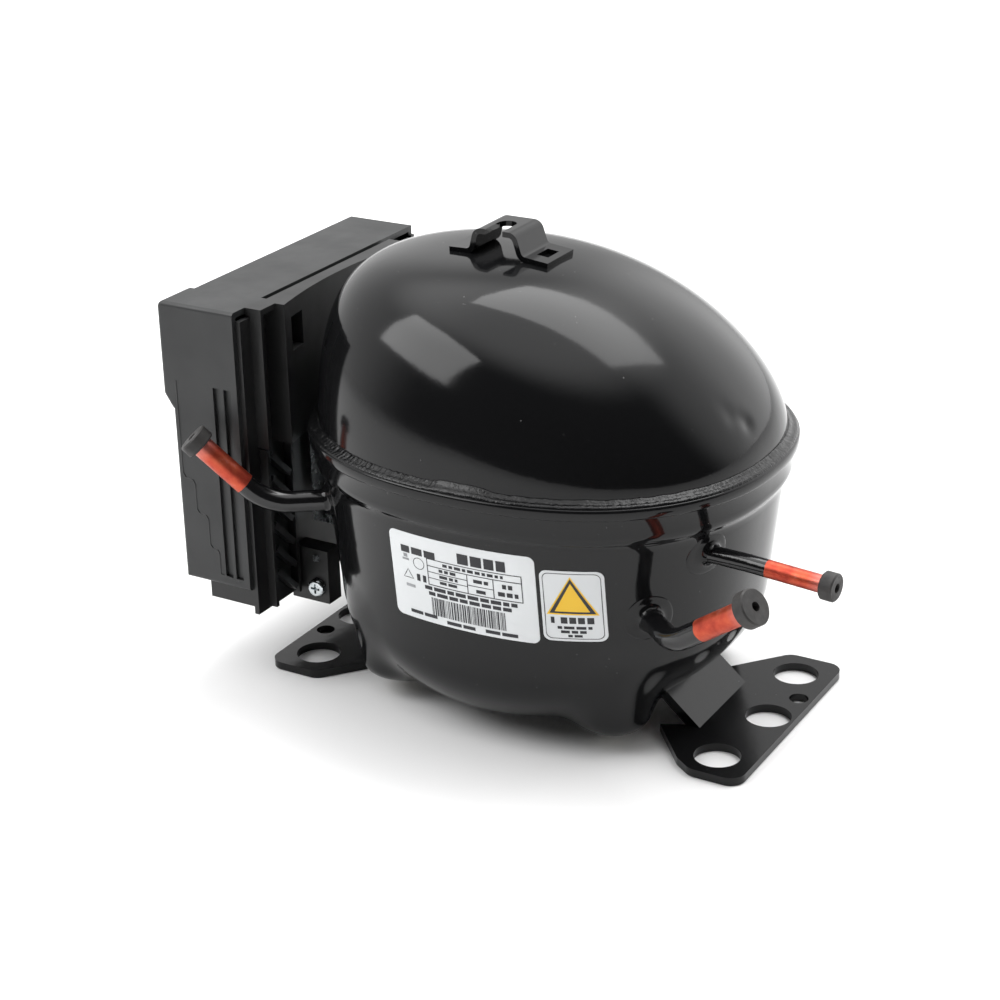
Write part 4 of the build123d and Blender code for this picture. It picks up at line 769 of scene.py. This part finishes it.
def print_hazard(ink, yellow, slot):
    label = Label("hazard_label", 32.4, 52.8, 50.0, 78.0)
    rim = rounded_corners(0.045, 0.955, 0.032, 0.968, 0.10, 0.075)
    parts = [label.outline(rim, 0.28, steps=3)]
    parts.append(label.bar(0.14, 0.20, HAZARD_BAR_TOP, HAZARD_BAR_BOTTOM))
    for u in HAZARD_BAR_LEFTS:
        parts.append(label.bar(u, u + HAZARD_BAR_WIDTH, HAZARD_BAR_TOP, HAZARD_BAR_BOTTOM))
    for line in HAZARD_WORDS:
        parts += words(label, *line, gap=0.03)
    mesh_object("hazard_label_print", *joined(parts), ink, slot=slot, smooth=False)
    for (name, *shape), mat in zip(TRIANGLES, (yellow, ink, yellow)):
        mesh_object(name, *label.triangle(*shape), mat, slot=slot, smooth=False)


# ---- inverter box details -----------------------------------------------
COVER_FACE_Y = -60.0
FACE_OUT = Vector((0, -1, 0))
STEP_LINE_WIDTH, STEP_LINE_HEIGHT, SPAN_STEPS = 0.7, 0.25, 6
# X and Z of the moulded line that steps down the cover's front face.
STEP_LINE = [
    (-124.6, 117), (-124.6, 80.5), (-123.4, 78.6), (-120.2, 78.2),
    (-119.3, 76.5), (-119.3, 66.5), (-118.2, 65.0), (-115.2, 64.6),
    (-114.3, 63.2), (-114.3, 53.0), (-113.2, 51.6), (-110.9, 51.2),
    (-110.3, 50.0), (-110.3, 41.5), (-99.6, 39.6),
]


def ribbon(name, points, width, height, mat, body, slot):
    """A raised moulded line with a rounded top that follows a polyline on the front face."""
    verts, faces = [], []
    points = [Vector(p) * MM for p in points]
    for i, p in enumerate(points):
        before = points[max(0, i - 1)]
        after = points[min(len(points) - 1, i + 1)]
        side = (after - before).normalized().cross(FACE_OUT)
        half = side * width * MM / 2
        top = FACE_OUT * height * MM
        verts += [p - half, p - half * 0.6 + top * 0.8, p + top, p + half * 0.6 + top * 0.8, p + half]
    for i in range(len(points) - 1):
        for k in range(4):
            a = i * 5 + k
            faces.append((a, a + 1, a + 6, a + 5))
    mesh_object(name, verts, faces, mat, body, slot)


def build_box_details(mat):
    dense = []
    for (xa, za), (xb, zb) in zip(STEP_LINE, STEP_LINE[1:]):
        for k in range(SPAN_STEPS):
            t = k / SPAN_STEPS
            dense.append((xa + (xb - xa) * t, COVER_FACE_Y, za + (zb - za) * t))
    ribbon("cover_step_line", dense, STEP_LINE_WIDTH, STEP_LINE_HEIGHT, mat, "cover", "box_plastic")


# ---- stage and light ----------------------------------------------------
FLOOR_HALF, FLOOR_Z = 6.0, -0.0003
# Each soft patch of sky: its direction, its width in degrees and its level.
SKY_PATCHES = [
    ((-0.1, 0.1, 1.0), 48, 2.2), ((-1.0, 0.15, 0.35), 62, 1.15),
    ((0.55, 1.0, 0.55), 55, 1.5), ((0.0, 1.0, 0.1), 60, 0.7),
]
PATCH_CORE = 0.25
SKY_BASE, SKY_SEEN = 0.03, 1.0
# Each area light: its name, place, target, size both ways and power.
LIGHTS = [
    ("left_softbox", (-1.0, -0.9, 1.3), (-0.02, 0, 0.1), 1.1, 0.9, 18),
    ("top_softbox", (0.1, 0.6, 1.6), (0, 0, 0.1), 1.4, 0.8, 15),
]


def build_stage():
    kit = Kit("stage_white")
    kit.mottle(kit.noise(3, 2.0), (0.86, 0.86, 0.86), (0.88, 0.88, 0.88))
    kit.set(rough=0.7)
    corners = ((-1, -1), (1, -1), (1, 1), (-1, 1))
    data = bpy.data.meshes.new("floor")
    data.from_pydata([(x * FLOOR_HALF, y * FLOOR_HALF, FLOOR_Z) for x, y in corners], [], [(0, 1, 2, 3)])
    data.materials.append(kit.mat)
    floor = bpy.data.objects.new("floor", data)
    bpy.context.scene.collection.objects.link(floor)


def area_light(name, place, target, size_x, size_y, power):
    data = bpy.data.lights.new(name, "AREA")
    data.shape = "RECTANGLE"
    data.size = size_x
    data.size_y = size_y
    data.energy = power
    lamp = bpy.data.objects.new(name, data)
    bpy.context.scene.collection.objects.link(lamp)
    lamp.location = place
    lamp.rotation_euler = (Vector(target) - Vector(place)).to_track_quat("-Z", "Y").to_euler()


def sky_patch(nodes, links, direction, width, level):
    """A soft bright patch of sky, fading smoothly away from one direction."""
    sky = nodes.new("ShaderNodeTexCoord")
    dot = nodes.new("ShaderNodeVectorMath")
    dot.operation = "DOT_PRODUCT"
    links.new(sky.outputs["Generated"], dot.inputs[0])
    dot.inputs[1].default_value = tuple(Vector(direction).normalized())
    edge = nodes.new("ShaderNodeMapRange")
    edge.interpolation_type = "SMOOTHERSTEP"
    edge.inputs["From Min"].default_value = math.cos(math.radians(width))
    edge.inputs["From Max"].default_value = math.cos(math.radians(width * PATCH_CORE))
    edge.inputs["To Min"].default_value = 0.0
    edge.inputs["To Max"].default_value = level
    links.new(dot.outputs["Value"], edge.inputs["Value"])
    return edge.outputs["Result"]


def build_light():
    """A dark studio with soft patches of light, which the camera itself sees as plain white."""
    world = bpy.data.worlds.new("studio")
    bpy.context.scene.world = world
    world.use_nodes = True
    nodes, links = world.node_tree.nodes, world.node_tree.links
    background = nodes["Background"]
    background.inputs["Color"].default_value = (1, 1, 1, 1)
    total = None
    for direction, width, level in SKY_PATCHES:
        glow = sky_patch(nodes, links, direction, width, level)
        if total is None:
            total = glow
        else:
            add = nodes.new("ShaderNodeMath")
            links.new(total, add.inputs[0])
            links.new(glow, add.inputs[1])
            total = add.outputs[0]
    base = nodes.new("ShaderNodeMath")
    links.new(total, base.inputs[0])
    base.inputs[1].default_value = SKY_BASE
    path = nodes.new("ShaderNodeLightPath")
    choose = nodes.new("ShaderNodeMix")
    links.new(path.outputs["Is Camera Ray"], choose.inputs[0])
    links.new(base.outputs[0], choose.inputs[2])
    choose.inputs[3].default_value = SKY_SEEN
    links.new(choose.outputs[0], background.inputs["Strength"])
    for light in LIGHTS:
        area_light(*light)
    bpy.context.scene.view_settings.view_transform = "Standard"


# ---- materials of the CAD nodes -----------------------------------------
gloss = enamel("shell_enamel_gloss")
bead_enamel = enamel("weld_enamel", 0.08, 0.22, 0.06, 0.35)
plate_enamel = enamel("plate_enamel", 0.1, 0.2, 0.08)
box_plastic = plastic("box_plastic_black", (0.012, 0.0128, 0.0133), 0.46, 0.10, 0.08)
base_plastic = plastic("base_plastic_black", (0.006, 0.0062, 0.0065), 0.46, 0.08)
ink = plastic("print_ink", (0.012, 0.012, 0.016), 0.5, 0.02)
faint_ink = plastic("faint_ink", (0.32, 0.33, 0.34), 0.5, 0.02)
yellow = plastic("sign_yellow", (0.86, 0.52, 0.015), 0.4, 0.03, 0.05)
white_film = film("label_white", (0.74, 0.76, 0.77))
hazard_film = film("hazard_white", (0.72, 0.74, 0.75))
steel = metal("ground_steel", (0.42, 0.43, 0.45), 0.28, (1, 1, 14))
spring = metal("spring_steel", (0.33, 0.33, 0.34), 0.32)
zinc = metal("bright_zinc", (0.62, 0.66, 0.68), 0.22, (1, 1, 1), 500, 0.05)
iron = metal("cast_iron", (0.16, 0.16, 0.165), 0.55, (1, 1, 1), 260, 0.5, 0.25, 0.8)
lamination = metal("laminated_steel", (0.24, 0.25, 0.27), 0.4, (0.05, 0.05, 6), 420, 0.35)
alloy = metal("cast_alloy", (0.62, 0.63, 0.65), 0.42, (1, 1, 1), 350, 0.3)
winding = metal("enamelled_wire", (0.42, 0.13, 0.035), 0.3, (1, 1, 8), 500, 0.5)
magnet = metal("magnet_grey", (0.08, 0.08, 0.085), 0.5, metallic=0.7)
glass = plastic("terminal_glass", (0.05, 0.07, 0.06), 0.12, 0.02)
nylon = plastic("natural_nylon", (0.62, 0.60, 0.52), 0.45)
cream = plastic("cream_plastic", (0.66, 0.63, 0.52), 0.42)
gasket = plastic("gasket_fibre", (0.10, 0.11, 0.12), 0.75, 0.4)
board = plastic("solder_mask", (0.012, 0.10, 0.035), 0.3)
sleeve = plastic("capacitor_sleeve", (0.02, 0.025, 0.05), 0.28)
ferrite = plastic("coated_core", (0.10, 0.14, 0.04), 0.4)
resin = plastic("moulding_resin", (0.015, 0.015, 0.017), 0.5)
amber = plastic("film_capacitor", (0.42, 0.28, 0.03), 0.3)
white_nylon = plastic("white_nylon", (0.72, 0.72, 0.70), 0.4)
red_wire = plastic("wire_cover", (0.45, 0.04, 0.03), 0.35)
plug_rubber = rubber("plug_rubber")
loop_copper = bare_copper("loop_copper")

looks = {
    gloss: ["lower_shell", "upper_shell", "top_bracket"],
    plate_enamel: ["base_plate_right", "base_plate_left"],
    bead_enamel: ["seam_weld"],
    loop_copper: ["shock_loop"],
    plug_rubber: ["suction_plug", "discharge_plug", "process_plug"],
    white_film: ["rating_label"],
    hazard_film: ["hazard_label"],
    box_plastic: ["inverter_cover"],
    base_plastic: ["inverter_base"],
    zinc: ["base_screw", "earth_tab", "terminal_body", "terminal_fence"],
    glass: ["terminal_glass"],
    steel: ["terminal_pins", "stator_bolts", "head_bolts", "thrust_bearing", "gallery_plug", "oil_pickup",
            "slide_block", "crosshead", "piston", "valve_plate", "reed_stop"],
    spring: ["suspension_springs", "suction_reed", "discharge_reed"],
    iron: ["cylinder_block", "crankshaft"],
    lamination: ["stator_core", "rotor_core"],
    alloy: ["rotor_end_rings", "cylinder_head", "heat_sink"],
    winding: ["stator_windings"],
    magnet: ["rotor_magnets"],
    nylon: ["lower_spring_seats", "upper_spring_seats", "stator_insulators"],
    cream: ["suction_muffler"],
    gasket: ["cylinder_gasket", "head_gasket"],
    board: ["inverter_board"],
    sleeve: ["bus_capacitors"],
    ferrite: ["filter_choke"],
    resin: ["power_module"],
    amber: ["film_capacitors"],
    white_nylon: ["motor_connector", "power_connector", "motor_header"],
    red_wire: ["motor_leads"],
}
for tube, (_, turn, end, _) in TUBES.items():
    direction = (Vector(end) - Vector(turn)).normalized()
    looks[copper_tube(f"{tube}_copper", Vector(end) * MM, direction)] = [f"{tube}_tube"]


def dress_nodes():
    """Each CAD node gets its one material, and a node left out stops the script."""
    dressed = set()
    for mat, names in looks.items():
        for name in names:
            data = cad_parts[name].data
            data.materials.clear()
            data.materials.append(mat)
            dressed.add(name)
    missing = sorted(set(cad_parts) - dressed)
    if missing:
        raise SystemExit(f"no material for {missing}")


# ---- assembly -----------------------------------------------------------
add_camera()
build_stage()
build_light()
dress_nodes()
build_dome(gloss)
build_bowl(gloss)
build_weld(bead_enamel)
build_tube_collars(gloss)
print_rating(ink, faint_ink, "label_film")
print_hazard(ink, yellow, "label_film")
build_box_details(box_plastic)
